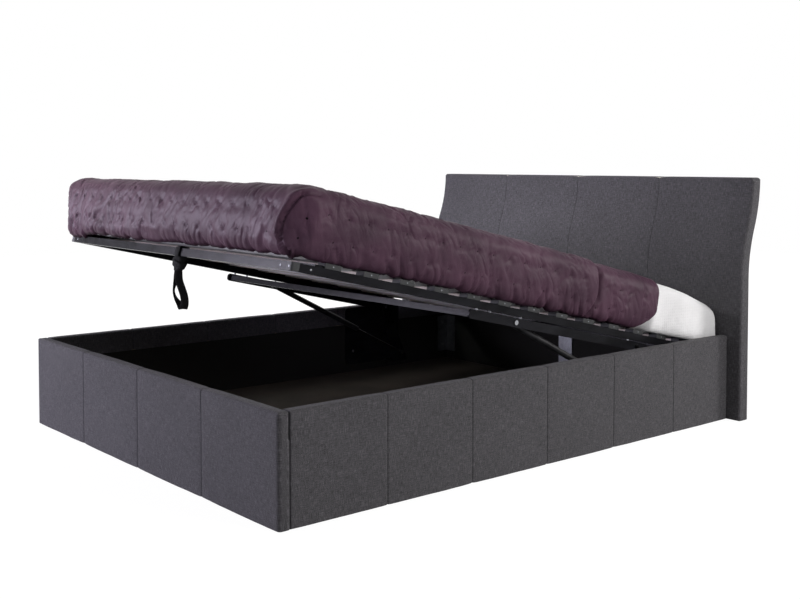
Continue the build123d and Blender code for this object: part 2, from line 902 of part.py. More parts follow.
# Mattress: a crowned block whose head end clears the headboard as it swings
def mattress_form(grow):
    """The mattress, with every face moved outwards by one amount."""
    reach = mattress_reach + grow
    base = mattress_base - grow
    top = mattress_top + grow
    foot = mattress_foot - grow
    middle = (base + top) / 2
    half = mattress_width / 2 + grow
    head_low, head_middle, head_high = [
        (math.sqrt(reach**2 - height**2), height) for height in (base, middle, top)
    ]
    crown_middle = ((foot + head_high[0]) / 2, top + mattress_crown)
    with BuildPart() as form:
        with BuildSketch(lift_side(-half)) as profile:
            with BuildLine():
                Line((foot, top), (foot, base))
                Line((foot, base), head_low)
                ThreePointArc(head_low, head_middle, head_high)
                ThreePointArc(head_high, crown_middle, (foot, top))
            make_face()
            foot_and_base = profile.vertices().sort_by(lambda v: v.X + v.Y)[:-1]
            fillet(foot_and_base, mattress_corner_radius + grow)
            head_corner = profile.vertices().sort_by(lambda v: v.X + v.Y)[-1]
            fillet(head_corner, mattress_head_radius + grow)
        extrude(amount=2 * half)
        fillet(form.faces().filter_by(Axis.X).edges(), mattress_edge_radius + grow)
    return form.part


with BuildPart() as mattress:
    add(mattress_form(0))
keep(mattress, "mattress")


# Quilt: it wraps the mattress from the foot, thinner past the fold near the head
def quilt_form(inset):
    """The outside of the quilt, drawn in by one amount, solid down to its hem."""
    foot = quilt_foot + inset
    top = quilt_top - inset
    half = quilt_half_width - inset
    with BuildPart() as form:
        with BuildSketch(lift_side(-half)) as profile:
            with BuildLine():
                Line((foot, quilt_hem), (foot, top))
                ThreePointArc(
                    (foot, top),
                    ((foot + quilt_head_reach) / 2, top + mattress_crown),
                    (quilt_head_reach, top),
                )
                Line((quilt_head_reach, top), (quilt_head_reach, quilt_hem))
                Line((quilt_head_reach, quilt_hem), (foot, quilt_hem))
            make_face()
            foot_corner = profile.vertices().sort_by(lambda v: v.X - v.Y)[0]
            fillet(foot_corner, quilt_edge_radius)
        extrude(amount=2 * half)
        rounded = []
        for edge in form.faces().filter_by(Axis.X).edges():
            centre = lift.to_local_coords(edge.center())
            if centre.Z > quilt_hem + soft_gap and centre.Y < quilt_head_reach - soft_gap:
                rounded.append(edge)
        fillet(rounded, quilt_side_radius)
    return form.part


def tuft_planes():
    """A plane on the quilt's surface at each tuft, its normal pointing out of the quilt."""
    planes = []
    heights = [quilt_hem + share * (quilt_top - quilt_hem) for share in tuft_row_shares]
    across_count = int((2 * quilt_half_width - quilt_side_radius) / tuft_pitch)
    along_count = int((-quilt_fold_reach - quilt_foot - quilt_side_radius) / tuft_pitch)
    middle = (quilt_foot + quilt_head_reach) / 2
    for along in even_places(quilt_foot, -quilt_fold_reach, along_count):
        crown = mattress_crown * (1 - ((along - middle) / (quilt_foot - middle)) ** 2)
        for across in even_places(-quilt_half_width, quilt_half_width, across_count):
            place = lift.from_local_coords(Vector(across, along, quilt_top + crown))
            planes.append(Plane(origin=place, x_dir=lift.x_dir, z_dir=lift.z_dir))
    for height in heights:
        for across in even_places(-quilt_half_width, quilt_half_width, across_count):
            place = lift.from_local_coords(Vector(across, quilt_foot, height))
            planes.append(Plane(origin=place, x_dir=lift.x_dir, z_dir=-lift.y_dir))
        for side, word in sides:
            for along in even_places(quilt_foot, -quilt_fold_reach, along_count):
                place = lift.from_local_coords(Vector(side * quilt_half_width, along, height))
                planes.append(Plane(origin=place, x_dir=lift.y_dir, z_dir=side * lift.x_dir))
    return planes


def under_quilt():
    """The open space inside the hem, below the mattress."""
    half = mattress_width / 2 + soft_gap
    with BuildPart(lift) as space:
        block(
            (-half, mattress_foot - soft_gap, quilt_hem - overrun),
            (half, quilt_head_reach + overrun, mattress_base + mattress_corner_radius),
        )
    return space.part


down_from_top = (Align.CENTER, Align.CENTER, Align.MAX)
with BuildPart() as quilt:
    add(quilt_form(0))
    thin_start = lift.from_local_coords(Vector(0, -quilt_fold_reach, 0))
    split(bisect_by=Plane(origin=thin_start, x_dir=lift.x_dir, z_dir=lift.y_dir), keep=Keep.BOTTOM)
    add(quilt_form(quilt_fold_step))
    with Locations(*tuft_planes()):
        Cone(0, tuft_radius, tuft_depth, align=down_from_top, mode=Mode.SUBTRACT)
    add(mattress_form(soft_gap), mode=Mode.SUBTRACT)
    add(under_quilt(), mode=Mode.SUBTRACT)
keep(quilt, "quilt")
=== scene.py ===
import json
import math

import bmesh
import bpy
import numpy as np
from mathutils import Matrix, Vector, noise


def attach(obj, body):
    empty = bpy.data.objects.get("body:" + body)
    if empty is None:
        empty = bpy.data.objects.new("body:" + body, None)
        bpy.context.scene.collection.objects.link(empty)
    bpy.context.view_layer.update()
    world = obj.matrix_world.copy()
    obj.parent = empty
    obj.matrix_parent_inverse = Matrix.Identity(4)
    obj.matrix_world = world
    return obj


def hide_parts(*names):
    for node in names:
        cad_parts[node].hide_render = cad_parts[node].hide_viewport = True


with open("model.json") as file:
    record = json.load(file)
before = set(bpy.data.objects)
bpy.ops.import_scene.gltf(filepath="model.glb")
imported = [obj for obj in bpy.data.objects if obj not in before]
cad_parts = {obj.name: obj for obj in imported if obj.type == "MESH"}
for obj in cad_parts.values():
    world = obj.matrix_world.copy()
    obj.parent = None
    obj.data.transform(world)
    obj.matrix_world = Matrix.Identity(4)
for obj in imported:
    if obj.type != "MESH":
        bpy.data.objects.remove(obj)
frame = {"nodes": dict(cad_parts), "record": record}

scene = bpy.context.scene
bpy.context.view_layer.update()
print("frame loaded")

# metres, in the frame of the CAD model
bed = {
    "footFace": -1.0825,
    "headFace": 0.9575,
    "halfWidth": 0.810,
    "pivot": (0.0, 0.5165, 0.314),
    "liftAngle": 13.1,
    "floorGap": 0.0005,
}
openAngle = math.radians(bed["liftAngle"])
# the lift frame's own axes: across, along towards the head, and up from the pivot
liftAxes = Matrix.Translation(bed["pivot"]) @ Matrix.Rotation(-openAngle, 4, "X")


# Camera, at the photograph's place and angle
shot = {
    "place": (3.2405, -2.694, 0.9805),
    "tiltDown": 2.395,
    "turn": 50.14,
    "lens": 50.04,
    "shiftDown": 0.1142,
    "sensor": 36,
    "farthest": 60,
}
lensData = bpy.data.cameras.new("shot")
lensData.lens = shot["lens"]
lensData.sensor_width = shot["sensor"]
lensData.shift_y = -shot["shiftDown"]
lensData.clip_end = shot["farthest"]
viewer = bpy.data.objects.new("shot", lensData)
viewer.location = shot["place"]
viewer.rotation_euler = (math.radians(90 - shot["tiltDown"]), 0, math.radians(shot["turn"]))
scene.collection.objects.link(viewer)
scene.camera = viewer
scene.view_settings.view_transform = "Standard"


# A node's output that sums and products can be written on
class Wire:
    def __init__(self, finish, socket):
        self.finish = finish
        self.socket = socket

    def maths(self, operation, first, second):
        return self.finish.node("ShaderNodeMath", {"operation": operation}, {0: first, 1: second})

    def __add__(self, other):
        return self.maths("ADD", self, other)

    def __sub__(self, other):
        return self.maths("SUBTRACT", self, other)

    def __rsub__(self, other):
        return self.maths("SUBTRACT", other, self)

    def __mul__(self, other):
        return self.maths("MULTIPLY", self, other)


# Sets a node's inputs, each to a value, a wire or another node's output
def plugIn(tree, made, inputs):
    for key, value in inputs.items():
        value = value.socket if isinstance(value, Wire) else value
        if isinstance(value, bpy.types.NodeSocket):
            tree.links.new(value, made.inputs[key])
        else:
            made.inputs[key].default_value = value


def addNode(tree, kind, settings, inputs):
    made = tree.nodes.new(kind)
    for key, value in settings.items():
        setattr(made, key, value)
    plugIn(tree, made, inputs)
    return made


def emptyTree(holder):
    holder.use_nodes = True
    holder.node_tree.nodes.clear()
    return holder.node_tree


# One material: its shader's plain values, and the nodes that vary over the surface
class Finish:
    def __init__(self, name, plain):
        self.material = bpy.data.materials.new(name)
        self.tree = emptyTree(self.material)
        self.shader = addNode(self.tree, "ShaderNodeBsdfPrincipled", {}, plain)
        addNode(self.tree, "ShaderNodeOutputMaterial", {}, {0: self.shader.outputs[0]})

    def node(self, kind, settings, inputs, out=0):
        return Wire(self, addNode(self.tree, kind, settings, inputs).outputs[out])

    def solid(self, scale=(1, 1, 1)):
        place = self.node("ShaderNodeTexCoord", {}, {}, 3)
        return self.node("ShaderNodeVectorMath", {"operation": "MULTIPLY"}, {0: place, 1: scale})

    def cloth(self, scale=(1, 1, 1)):
        place = self.node("ShaderNodeUVMap", {"uv_map": "cloth"}, {})
        return self.node("ShaderNodeVectorMath", {"operation": "MULTIPLY"}, {0: place, 1: scale})

    # Painted shade along the seams, read from each point's "shade" attribute
    def shade(self):
        return self.node("ShaderNodeAttribute", {"attribute_name": "shade"}, {}, 2)

    def parts(self, place):
        split = addNode(self.tree, "ShaderNodeSeparateXYZ", {}, {0: place})
        return [Wire(self, output) for output in split.outputs]

    def clouds(self, place, detail=2.0, rough=0.5, bend=0.0):
        values = {"Vector": place, "Scale": 1.0, "Detail": detail, "Roughness": rough, "Distortion": bend}
        return self.node("ShaderNodeTexNoise", {}, values)

    def cells(self, scale):
        values = {"Vector": self.solid((scale, scale, scale)), "Scale": 1.0}
        return self.node("ShaderNodeTexVoronoi", {}, values)

    def ramp(self, value, stops):
        made = addNode(self.tree, "ShaderNodeValToRGB", {}, {0: value})
        elements = made.color_ramp.elements
        for number, (place, colour) in enumerate(stops):
            stop = elements[number] if number < 2 else elements.new(place)
            stop.position = place
            stop.color = (*colour, 1)
        return Wire(self, made.outputs[0])

    def wave(self, value, length):
        return self.node("ShaderNodeMath", {"operation": "SINE"}, {0: value * (2 * math.pi / length)})

    def relief(self, height, depth):
        values = {"Height": height, "Distance": depth, "Strength": 1.0}
        plugIn(self.tree, self.shader, {"Normal": self.node("ShaderNodeBump", {}, values)})

    def vary(self, **sockets):
        names = {"colour": "Base Color", "rough": "Roughness"}
        plugIn(self.tree, self.shader, {names[key]: value for key, value in sockets.items()})


# Grey upholstery: light and dark yarns both ways, with slubs, and painted shade along its seams
def greyLinen():
    linen = {"pitch": 0.0013, "dark": (0.017, 0.016, 0.018), "middle": (0.050, 0.048, 0.053),
             "light": (0.135, 0.130, 0.142), "seamPaintedShade": 0.09}
    plain = {"Roughness": 0.92, "Specular IOR Level": 0.2, "Sheen Weight": 0.1, "Sheen Roughness": 0.5}
    finish = Finish("greyLinen", plain)
    warp = finish.clouds(finish.cloth((900, 60, 1)))
    weft = finish.clouds(finish.cloth((60, 900, 1)))
    slubs = finish.clouds(finish.cloth((420, 22, 1))) + finish.clouds(finish.cloth((22, 420, 1)))
    shade = finish.clouds(finish.cloth((5, 5, 1)), 3)
    tone = warp * 0.38 + weft * 0.28 + slubs * 0.145 + shade * 0.05
    u, v, _ = finish.parts(finish.cloth())
    weave = finish.wave(u, linen["pitch"]) * finish.wave(v, linen["pitch"])
    stops = [(0.33, linen["dark"]), (0.49, linen["middle"]), (0.64, linen["light"])]
    # painted shade darkens the yarn tone along each seam
    toneAndSeamShade = tone + weave * 0.02 - finish.shade() * linen["seamPaintedShade"]
    finish.vary(colour=finish.ramp(toneAndSeamShade, stops), rough=tone * 0.15 + 0.82)
    finish.relief(weave * 0.4 + (warp + weft) * 0.8, 0.0005)
    return finish.material


# Satin of the quilt: fine creases that run down its sides, a close yarn and a drift of tone
def purpleSatin():
    satin = {"deep": (0.034, 0.016, 0.027), "lit": (0.072, 0.034, 0.055), "creaseDepth": 0.0042,
             "leanX": -0.40, "leanY": 0.35, "stretch": 0.09}
    finish = Finish("purpleSatin", {"Specular IOR Level": 0.10})
    x, y, z = finish.parts(finish.solid())
    slanted = {0: x + z * satin["leanX"], 1: y + z * satin["leanY"], 2: z * satin["stretch"]}
    across = finish.node("ShaderNodeCombineXYZ", {}, slanted)
    drift = finish.clouds(finish.solid((7, 7, 7)), 3)
    patches = finish.clouds(finish.solid((9, 9, 14)), 1)

    def fineCreases(scale):
        place = finish.node("ShaderNodeVectorMath", {"operation": "SCALE"}, {0: across, 3: scale})
        centred = finish.clouds(place, 0.0) - 0.5
        gap = finish.node("ShaderNodeMath", {"operation": "ABSOLUTE"}, {0: centred})
        return finish.node("ShaderNodeMath", {"operation": "MINIMUM"}, {0: gap * 5, 1: 1.0})

    yarn = finish.clouds(finish.solid((160, 900, 500)), 1)
    tone = drift * 0.7 + yarn * 0.3
    colour = finish.ramp(tone, [(0.3, satin["deep"]), (0.68, satin["lit"])])
    finish.vary(colour=colour, rough=0.54 - drift * 0.10)
    folds = fineCreases(30) * 0.85 + fineCreases(70) * 0.15
    finish.relief(folds * (patches * 2.4 - 0.8) + yarn * 0.02, satin["creaseDepth"])
    return finish.material


# White cover of the mattress, a close knit with a small raised lattice
def whiteTicking():
    ticking = {"pitch": 0.0016, "lattice": 0.022}
    finish = Finish("whiteTicking", {"Specular IOR Level": 0.3, "Sheen Weight": 0.15})
    x, y, z = finish.parts(finish.solid())
    knit = finish.wave(x + y, ticking["pitch"]) * finish.wave(z, ticking["pitch"])
    lattice = finish.wave(x + y + z, ticking["lattice"]) * finish.wave(x + y - z, ticking["lattice"])
    drift = finish.clouds(finish.solid((9, 9, 9)), 3)
    tone = drift * 0.6 + lattice * 0.05 + knit * 0.04 + 0.2
    finish.vary(colour=finish.ramp(tone, [(0.35, (0.67, 0.67, 0.68)), (0.65, (0.75, 0.75, 0.76))]),
                rough=0.9 - tone * 0.15)
    finish.relief(knit * 0.3 + lattice * 0.8, 0.0003)
    return finish.material


# Cloth of the well: flat black, with a soft nap
def blackLining():
    finish = Finish("blackLining", {"Specular IOR Level": 0.15, "Sheen Weight": 0.1})
    x, y, z = finish.parts(finish.solid())
    weave = finish.wave(x + y, 0.0012) * finish.wave(z, 0.0012)
    nap = finish.clouds(finish.solid((220, 220, 220)), 3)
    finish.vary(colour=finish.ramp(nap, [(0.3, (0.006, 0.006, 0.005)), (0.7, (0.014, 0.013, 0.012))]),
                rough=0.98 - nap * 0.1)
    finish.relief(weave * 0.4 + nap, 0.0005)
    return finish.material


# Foam layer in the headboard, open celled
def paleFoam():
    finish = Finish("paleFoam", {"Roughness": 1.0, "Specular IOR Level": 0.1})
    cells = finish.cells(900)
    finish.vary(colour=finish.ramp(cells, [(0.1, (0.45, 0.42, 0.32)), (0.7, (0.72, 0.69, 0.58))]))
    finish.relief(cells, 0.0008)
    return finish.material


# Dull zinc plate with its spangle
def zincPlate():
    finish = Finish("zincPlate", {"Metallic": 1.0})
    spangle = finish.cells(160)
    haze = finish.clouds(finish.solid((40, 40, 40)), 3)
    tone = spangle * 0.4 + haze * 0.6
    finish.vary(colour=finish.ramp(tone, [(0.2, (0.12, 0.125, 0.135)), (0.7, (0.22, 0.225, 0.24))]),
                rough=tone * 0.3 + 0.30)
    finish.relief(haze, 0.0001)
    return finish.material


# Woven webbing of the pull strap: ribs in a herringbone
def blackWebbing():
    web = {"rib": 0.0016, "chevron": 0.006}
    finish = Finish("blackWebbing", {"Specular IOR Level": 0.12})
    u, v, _ = finish.parts(finish.cloth())
    chevron = finish.node("ShaderNodeMath", {"operation": "PINGPONG"}, {0: u, 1: web["chevron"]})
    ribs = finish.wave(v + chevron * 0.7, web["rib"])
    yarn = finish.clouds(finish.cloth((1500, 300, 1)), 2)
    tone = ribs * 0.2 + yarn * 0.6 + 0.2
    finish.vary(colour=finish.ramp(tone, [(0.2, (0.003, 0.003, 0.0035)), (0.8, (0.020, 0.020, 0.022))]),
                rough=0.85 - yarn * 0.2)
    finish.relief(ribs + yarn * 0.6, 0.0004)
    return finish.material


# A finish of a fine and a broad drift, each with its scale, detail, roughness and bend; "tone", "rough" and
# "relief" give how much of either goes into the colour, the roughness and the height
def twoDrifts(name, values):
    finish = Finish(name, values["plain"])
    fineScale, *fineRest = values["fine"]
    broadScale, *broadRest = values["broad"]
    fine = finish.clouds(finish.solid(fineScale), *fineRest)
    broad = finish.clouds(finish.solid(broadScale), *broadRest)

    def blend(shares):
        return fine * shares[0] + broad * shares[1]

    colour = finish.ramp(blend(values["tone"]), values["stops"])
    finish.vary(colour=colour, rough=blend(values["rough"]) + values["roughBase"])
    finish.relief(blend(values["relief"]), values["depth"])
    return finish.material


# Raw particle board of the panels, and sawn timber of the battens
boardWood = twoDrifts("boardWood", {
    "plain": {"Specular IOR Level": 0.3},
    "fine": ((190, 60, 190), 3, 0.6),
    "broad": ((12, 3, 60), 2, 0.5, 0.6),
    "tone": (0.6, 0.4),
    "stops": [(0.33, (0.30, 0.20, 0.11)), (0.66, (0.55, 0.42, 0.27))],
    "rough": (-0.15, 0.0),
    "roughBase": 0.85,
    "relief": (1.0, 0.0),
    "depth": 0.0006,
})
# Thin dark fibre board of the well's floor
floorBoard = twoDrifts("floorBoard", {
    "plain": {"Specular IOR Level": 0.3},
    "fine": ((260, 260, 90), 3, 0.65),
    "broad": ((6, 6, 6), 3),
    "tone": (0.5, 0.5),
    "stops": [(0.35, (0.020, 0.016, 0.013)), (0.65, (0.050, 0.040, 0.031))],
    "rough": (-0.2, 0.0),
    "roughBase": 0.9,
    "relief": (1.0, 0.0),
    "depth": 0.0004,
})
# Satin powder coat, with its fine orange peel and paler rubbed spots
darkCoat = twoDrifts("darkCoat", {
    "plain": {"Specular IOR Level": 0.03},
    "fine": ((650, 650, 650), 2),
    "broad": ((16, 5, 16), 4, 0.6),
    "tone": (0.0, 1.0),
    "stops": [(0.35, (0.006, 0.006, 0.007)), (0.72, (0.017, 0.017, 0.020))],
    "rough": (0.0, 0.12),
    "roughBase": 0.18,
    "relief": (1.0, 0.0),
    "depth": 0.00012,
})
# Polished steel of pivots, studs and rods, with fine turning lines
brightSteel = twoDrifts("brightSteel", {
    "plain": {"Metallic": 1.0},
    "fine": ((1400, 60, 60), 2),
    "broad": ((60, 60, 60), 2),
    "tone": (0.0, 1.0),
    "stops": [(0.3, (0.22, 0.23, 0.25)), (0.7, (0.36, 0.36, 0.38))],
    "rough": (0.12, 0.1),
    "roughBase": 0.06,
    "relief": (1.0, 0.0),
    "depth": 0.00004,
})
# Gloss black paint of the gas cylinders, a little dusty
blackGloss = twoDrifts("blackGloss", {
    "plain": {"Specular IOR Level": 0.12, "Coat Weight": 0.05, "Coat Roughness": 0.3},
    "fine": ((300, 300, 300), 2),
    "broad": ((38, 38, 38), 4, 0.65),
    "tone": (0.0, 1.0),
    "stops": [(0.4, (0.010, 0.010, 0.011)), (0.75, (0.030, 0.030, 0.033))],
    "rough": (0.0, 0.3),
    "roughBase": 0.25,
    "relief": (1.0, 0.0),
    "depth": 0.00005,
})
# Moulded plastic with a fine spark-eroded grain
blackPlastic = twoDrifts("blackPlastic", {
    "plain": {"Specular IOR Level": 0.2},
    "fine": ((1100, 1100, 1100), 2, 0.6),
    "broad": ((30, 30, 30), 4, 0.6),
    "tone": (0.0, 1.0),
    "stops": [(0.35, (0.013, 0.014, 0.015)), (0.7, (0.030, 0.031, 0.033))],
    "rough": (0.0, 0.25),
    "roughBase": 0.4,
    "relief": (1.0, 0.0),
    "depth": 0.00015,
})
# Lacquered birch veneer, its grain along the slat: fine pores, broad growth lines
birchVeneer = twoDrifts("birchVeneer", {
    "plain": {"Specular IOR Level": 0.12},
    "fine": ((24, 900, 900), 2),
    "broad": ((4, 130, 130), 4, 0.62, 0.4),
    "tone": (0.25, 0.75),
    "stops": [(0.35, (0.48, 0.42, 0.37)), (0.6, (0.66, 0.60, 0.55))],
    "rough": (0.075, 0.225),
    "roughBase": 0.4,
    "relief": (1.0, 0.5),
    "depth": 0.0002,
})
# Thread of the quilt's tufts, near black: the thread's own colour and the painted shade of the tuft holes
threadAndTuftShade = twoDrifts("threadAndTuftShade", {
    "plain": {"Specular IOR Level": 0.05},
    "fine": ((1800, 1800, 1800), 2),
    "broad": ((60, 60, 60), 2),
    "tone": (1.0, 0.0),
    "stops": [(0.35, (0.001, 0.0006, 0.001)), (0.7, (0.007, 0.004, 0.006))],
    "rough": (-0.2, 0.0),
    "roughBase": 0.8,
    "relief": (1.0, 0.0),
    "depth": 0.0002,
})

finishes = {
    "grey_linen": greyLinen(),
    "board_wood": boardWood,
    "foam_fabric": paleFoam(),
    "black_lining": blackLining(),
    "floor_board": floorBoard,
    "zinc_steel": zincPlate(),
    "dark_steel": darkCoat,
    "black_plastic": blackPlastic,
    "birch": birchVeneer,
    "bright_steel": brightSteel,
    "black_gloss": blackGloss,
    "black_webbing": blackWebbing(),
    "white_ticking": whiteTicking(),
    "purple_quilt": purpleSatin(),
}
print("materials made")


# Every CAD node takes the finish of its slot
for entry in frame["record"]["subparts"]:
    node = frame["nodes"][entry["node"]]
    if not node.material_slots:
        node.data.materials.append(None)
    for holder in node.material_slots:
        holder.material = finishes[entry["material_slot"]]


def bumps(x, y, z=0.0):
    return noise.noise(Vector((x, y, z)))


def easeIn(value):
    value = min(max(value, 0.0), 1.0)
    return value * value * (3 - 2 * value)


# A mesh object from points and faces, with its cloth map and its painted seam shade if it has them
def makePiece(name, points, faces, finish, clothMap=None, shade=None):
    mesh = bpy.data.meshes.new(name)
    spots = [tuple(map(float, point)) for point in points]
    mesh.from_pydata(spots, [], [tuple(map(int, face)) for face in faces])
    if shade is not None:
        mesh.attributes.new("shade", "FLOAT", "POINT").data.foreach_set("value", shade)
    if clothMap is not None:
        layer = mesh.uv_layers.new(name="cloth")
        layer.data.foreach_set("uv", np.array(clothMap, np.float32).ravel())
    mesh.materials.append(finish)
    mesh.validate()
    made = bpy.data.objects.new(name, mesh)
    scene.collection.objects.link(made)
    faceOut(made)
    mesh.polygons.foreach_set("use_smooth", [True] * len(mesh.polygons))
    return made


# Merges doubled points and turns every face outwards
def faceOut(piece):
    work = bmesh.new()
    work.from_mesh(piece.data)
    bmesh.ops.remove_doubles(work, verts=work.verts, dist=1e-6)
    bmesh.ops.recalc_face_normals(work, faces=work.faces)
    middle = sum((v.co for v in work.verts), Vector()) / max(len(work.verts), 1)
    outward = sum((f.calc_center_median() - middle).dot(f.normal) * f.calc_area() for f in work.faces)
    if outward < 0:
        bmesh.ops.reverse_faces(work, faces=work.faces)
    work.to_mesh(piece.data)
    work.free()


# The piece moves with its body and stands for these CAD nodes, which are hidden
def carry(piece, body, slot, *nodes):
    if nodes:
        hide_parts(*nodes)
    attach(piece, body)
    return piece


# One object from several
def joinParts(name, parts):
    work = bmesh.new()
    for part in parts:
        work.from_mesh(part.data)
    mesh = bpy.data.meshes.new(name)
    work.to_mesh(mesh)
    work.free()
    mesh.materials.append(parts[0].data.materials[0])
    for part in parts:
        bpy.data.objects.remove(part)
    made = bpy.data.objects.new(name, mesh)
    scene.collection.objects.link(made)
    return made


# Quads between rings that have the same count of points, from the point numbered "first" on
def ringQuads(rings, around, first=0, closed=False):
    quads = []
    for i in range(rings if closed else rings - 1):
        low, high = first + i * around, first + (i + 1) % rings * around
        for j in range(around):
            k = (j + 1) % around
            quads.append((low + j, low + k, high + k, high + j))
    return quads


# The cloth map of such quads: across goes by the section's own places, along by the rings'
def ringMap(acrossPlaces, alongPlaces):
    clothMap = []
    for near, far in zip(alongPlaces, alongPlaces[1:]):
        for u, v in zip(acrossPlaces, acrossPlaces[1:]):
            clothMap += [(u, near), (v, near), (v, far), (u, far)]
    return clothMap


# A flattened ball
def softLens(x, y, z, halfX, halfY, halfZ, around=12, rings=6):
    points = [(x, y, z - halfZ)]
    for i in range(1, rings):
        down = -math.cos(math.pi * i / rings)
        wide = math.sqrt(1 - down * down)
        for k in range(around):
            turn = 2 * math.pi * k / around
            across, along = halfX * wide * math.cos(turn), halfY * wide * math.sin(turn)
            points.append((x + across, y + along, z + halfZ * down))
    points.append((x, y, z + halfZ))
    faces = ringQuads(rings - 1, around, first=1)
    top = 1 + (rings - 2) * around
    for k in range(around):
        after = (k + 1) % around
        faces += [(0, 1 + after, 1 + k), (top + k, top + after, len(points) - 1)]
    return points, faces


# A band of webbing swept along a path, with the way its width points at each place
def bandAlong(name, path, wideWays, width, thickness, closed=False):
    count = len(path)
    points = []
    corner = 0.35 * thickness
    section = [(width / 2, 0), (width / 2 - corner, thickness / 2), (-width / 2 + corner, thickness / 2),
               (-width / 2, 0), (-width / 2 + corner, -thickness / 2), (width / 2 - corner, -thickness / 2)]
    lengths = [0.0]
    for here, after in zip(path, path[1:] + path[:1]):
        lengths.append(lengths[-1] + (after - here).length)
    for number, (spot, wide) in enumerate(zip(path, wideWays)):
        before = path[number - 1] if closed or number > 0 else spot
        after = path[(number + 1) % count] if closed or number < count - 1 else spot
        along = (after - before).normalized()
        wide = (wide - along * wide.dot(along)).normalized()
        thick = along.cross(wide)
        points += [spot + wide * u + thick * v for u, v in section]
    around = len(section)
    faces = ringQuads(count, around, closed=closed)
    across = [u for u, _ in section + section[:1]]
    clothMap = ringMap(across, lengths if closed else lengths[:count])
    if not closed:
        for i in (0, count - 1):
            faces.append([i * around + j for j in range(around)])
            clothMap += [(u, lengths[i] + v) for u, v in section]
    return makePiece(name, points, faces, finishes["black_webbing"], clothMap)


# The smooth line through given points
def smoothLine(points, closed=False):
    curve = bpy.data.curves.new("route", "CURVE")
    curve.dimensions = "3D"
    spline = curve.splines.new("NURBS")
    spline.points.add(len(points) - 1)
    for place, point in zip(spline.points, points):
        place.co = (*point, 1)
    spline.order_u = 3
    spline.use_endpoint_u = not closed
    spline.use_cyclic_u = closed
    spline.resolution_u = 6
    holder = bpy.data.objects.new("route", curve)
    mesh = bpy.data.meshes.new_from_object(holder)
    line = [v.co.copy() for v in mesh.vertices]
    bpy.data.objects.remove(holder)
    bpy.data.meshes.remove(mesh)
    return line


# Pull strap: its loop hangs plumb from the knot, twisted towards the near side
strap = {
    "top": (0.088, -0.9793, 0.6425),
    "width": 0.025,
    "thickness": 0.0022,
    "length": 0.27,
    "sideways": (0.641, 0.768, 0),
    "backwards": (-0.768, 0.641, 0),
    # drop, how far sideways and back, and the turn of the webbing about its own line, in degrees
    "route": [
        (0.000, 0.002, -0.0055, 5), (0.020, 0.002, -0.0060, 12), (0.042, 0.004, -0.0062, 18),
        (0.066, 0.013, -0.0062, 22), (0.092, 0.021, -0.0068, 18), (0.114, 0.022, -0.0080, 8),
        (0.1285, 0.017, -0.0045, 0), (0.1290, 0.011, 0.0040, 8), (0.116, 0.003, 0.0075, 45),
        (0.098, -0.010, 0.0070, 80), (0.076, -0.017, 0.0066, 92), (0.054, -0.013, 0.0060, 80),
        (0.032, -0.003, 0.0058, 35), (0.000, 0.000, 0.0055, 0),
    ],
}
sideways, backwards = Vector(strap["sideways"]), Vector(strap["backwards"])
route = [Vector(strap["top"]) + sideways * u + backwards * v + Vector((0, 0, -drop))
         for drop, u, v, _ in strap["route"]]
strapLine = smoothLine(route)
turns = []
for spot in strapLine:
    gaps = [(spot - point).length for point in route]
    order = sorted(range(len(route)), key=lambda k: gaps[k])[:2]
    near, far = (gaps[k] for k in order)
    first, second = (strap["route"][k][3] for k in order)
    turns.append((first * far + second * near) / (near + far))
turns = [sum(turns[max(k - 3, 0):k + 4]) / len(turns[max(k - 3, 0):k + 4]) for k in range(len(turns))]
wideWays = [sideways * math.cos(math.radians(t)) + backwards * math.sin(math.radians(t)) for t in turns]
strapLoop = bandAlong("strap_loop", strapLine, wideWays, strap["width"], strap["thickness"])
carry(strapLoop, "pull_strap", "black_webbing", "pull_strap")
strapLength = sum((b - a).length for a, b in zip(strapLine, strapLine[1:]))
print("strap loop", round(strapLength, 4))

# Its hitch: two turns round the foot tube, and the knot they are drawn through, in the lift frame's axes
hitch = {
    "across": 0.088,
    "along": -1.5305,
    "tubeMiddle": 0.0325,
    "tubeHalf": 0.0125,
    "bandWidth": 0.023,
    "thickness": 0.0026,
    "turns": [(0.0018, -0.0040, -0.10), (0.0048, 0.0045, 0.16)],
    # the rings of the knot: height, half sizes across and along, how wide, and tilt
    "rings": [(0.0040, 0.0250, 0.0170, 0.022, 0.22), (-0.0060, 0.0300, 0.0190, 0.022, -0.24),
              (-0.0180, 0.0180, 0.0130, 0.020, 0.12)],
    "ringPoints": 10,
    "ringWave": 0.0015,
    "ringFlare": 0.35,
    "hubShare": 0.42,
}
hitchParts = []
for number, (gap, shift, skew) in enumerate(hitch["turns"]):
    reach = hitch["tubeHalf"] + gap
    low = [(u, -1) for u in (-1, -0.3, 0.3, 1)]
    corners = low + [(1, 0)] + [(-u, 1) for u, _ in low] + [(-1, 0)]
    ring = [Vector((hitch["across"] + shift + skew * v * reach, hitch["along"] + u * reach,
                    hitch["tubeMiddle"] + v * reach)) for u, v in corners]
    line = smoothLine(ring, closed=True)
    wide = [Vector((1, 0, skew * 0.5))] * len(line)
    band = bandAlong(f"hitchTurn{number}", line, wide, hitch["bandWidth"], hitch["thickness"], True)
    hitchParts.append(band)
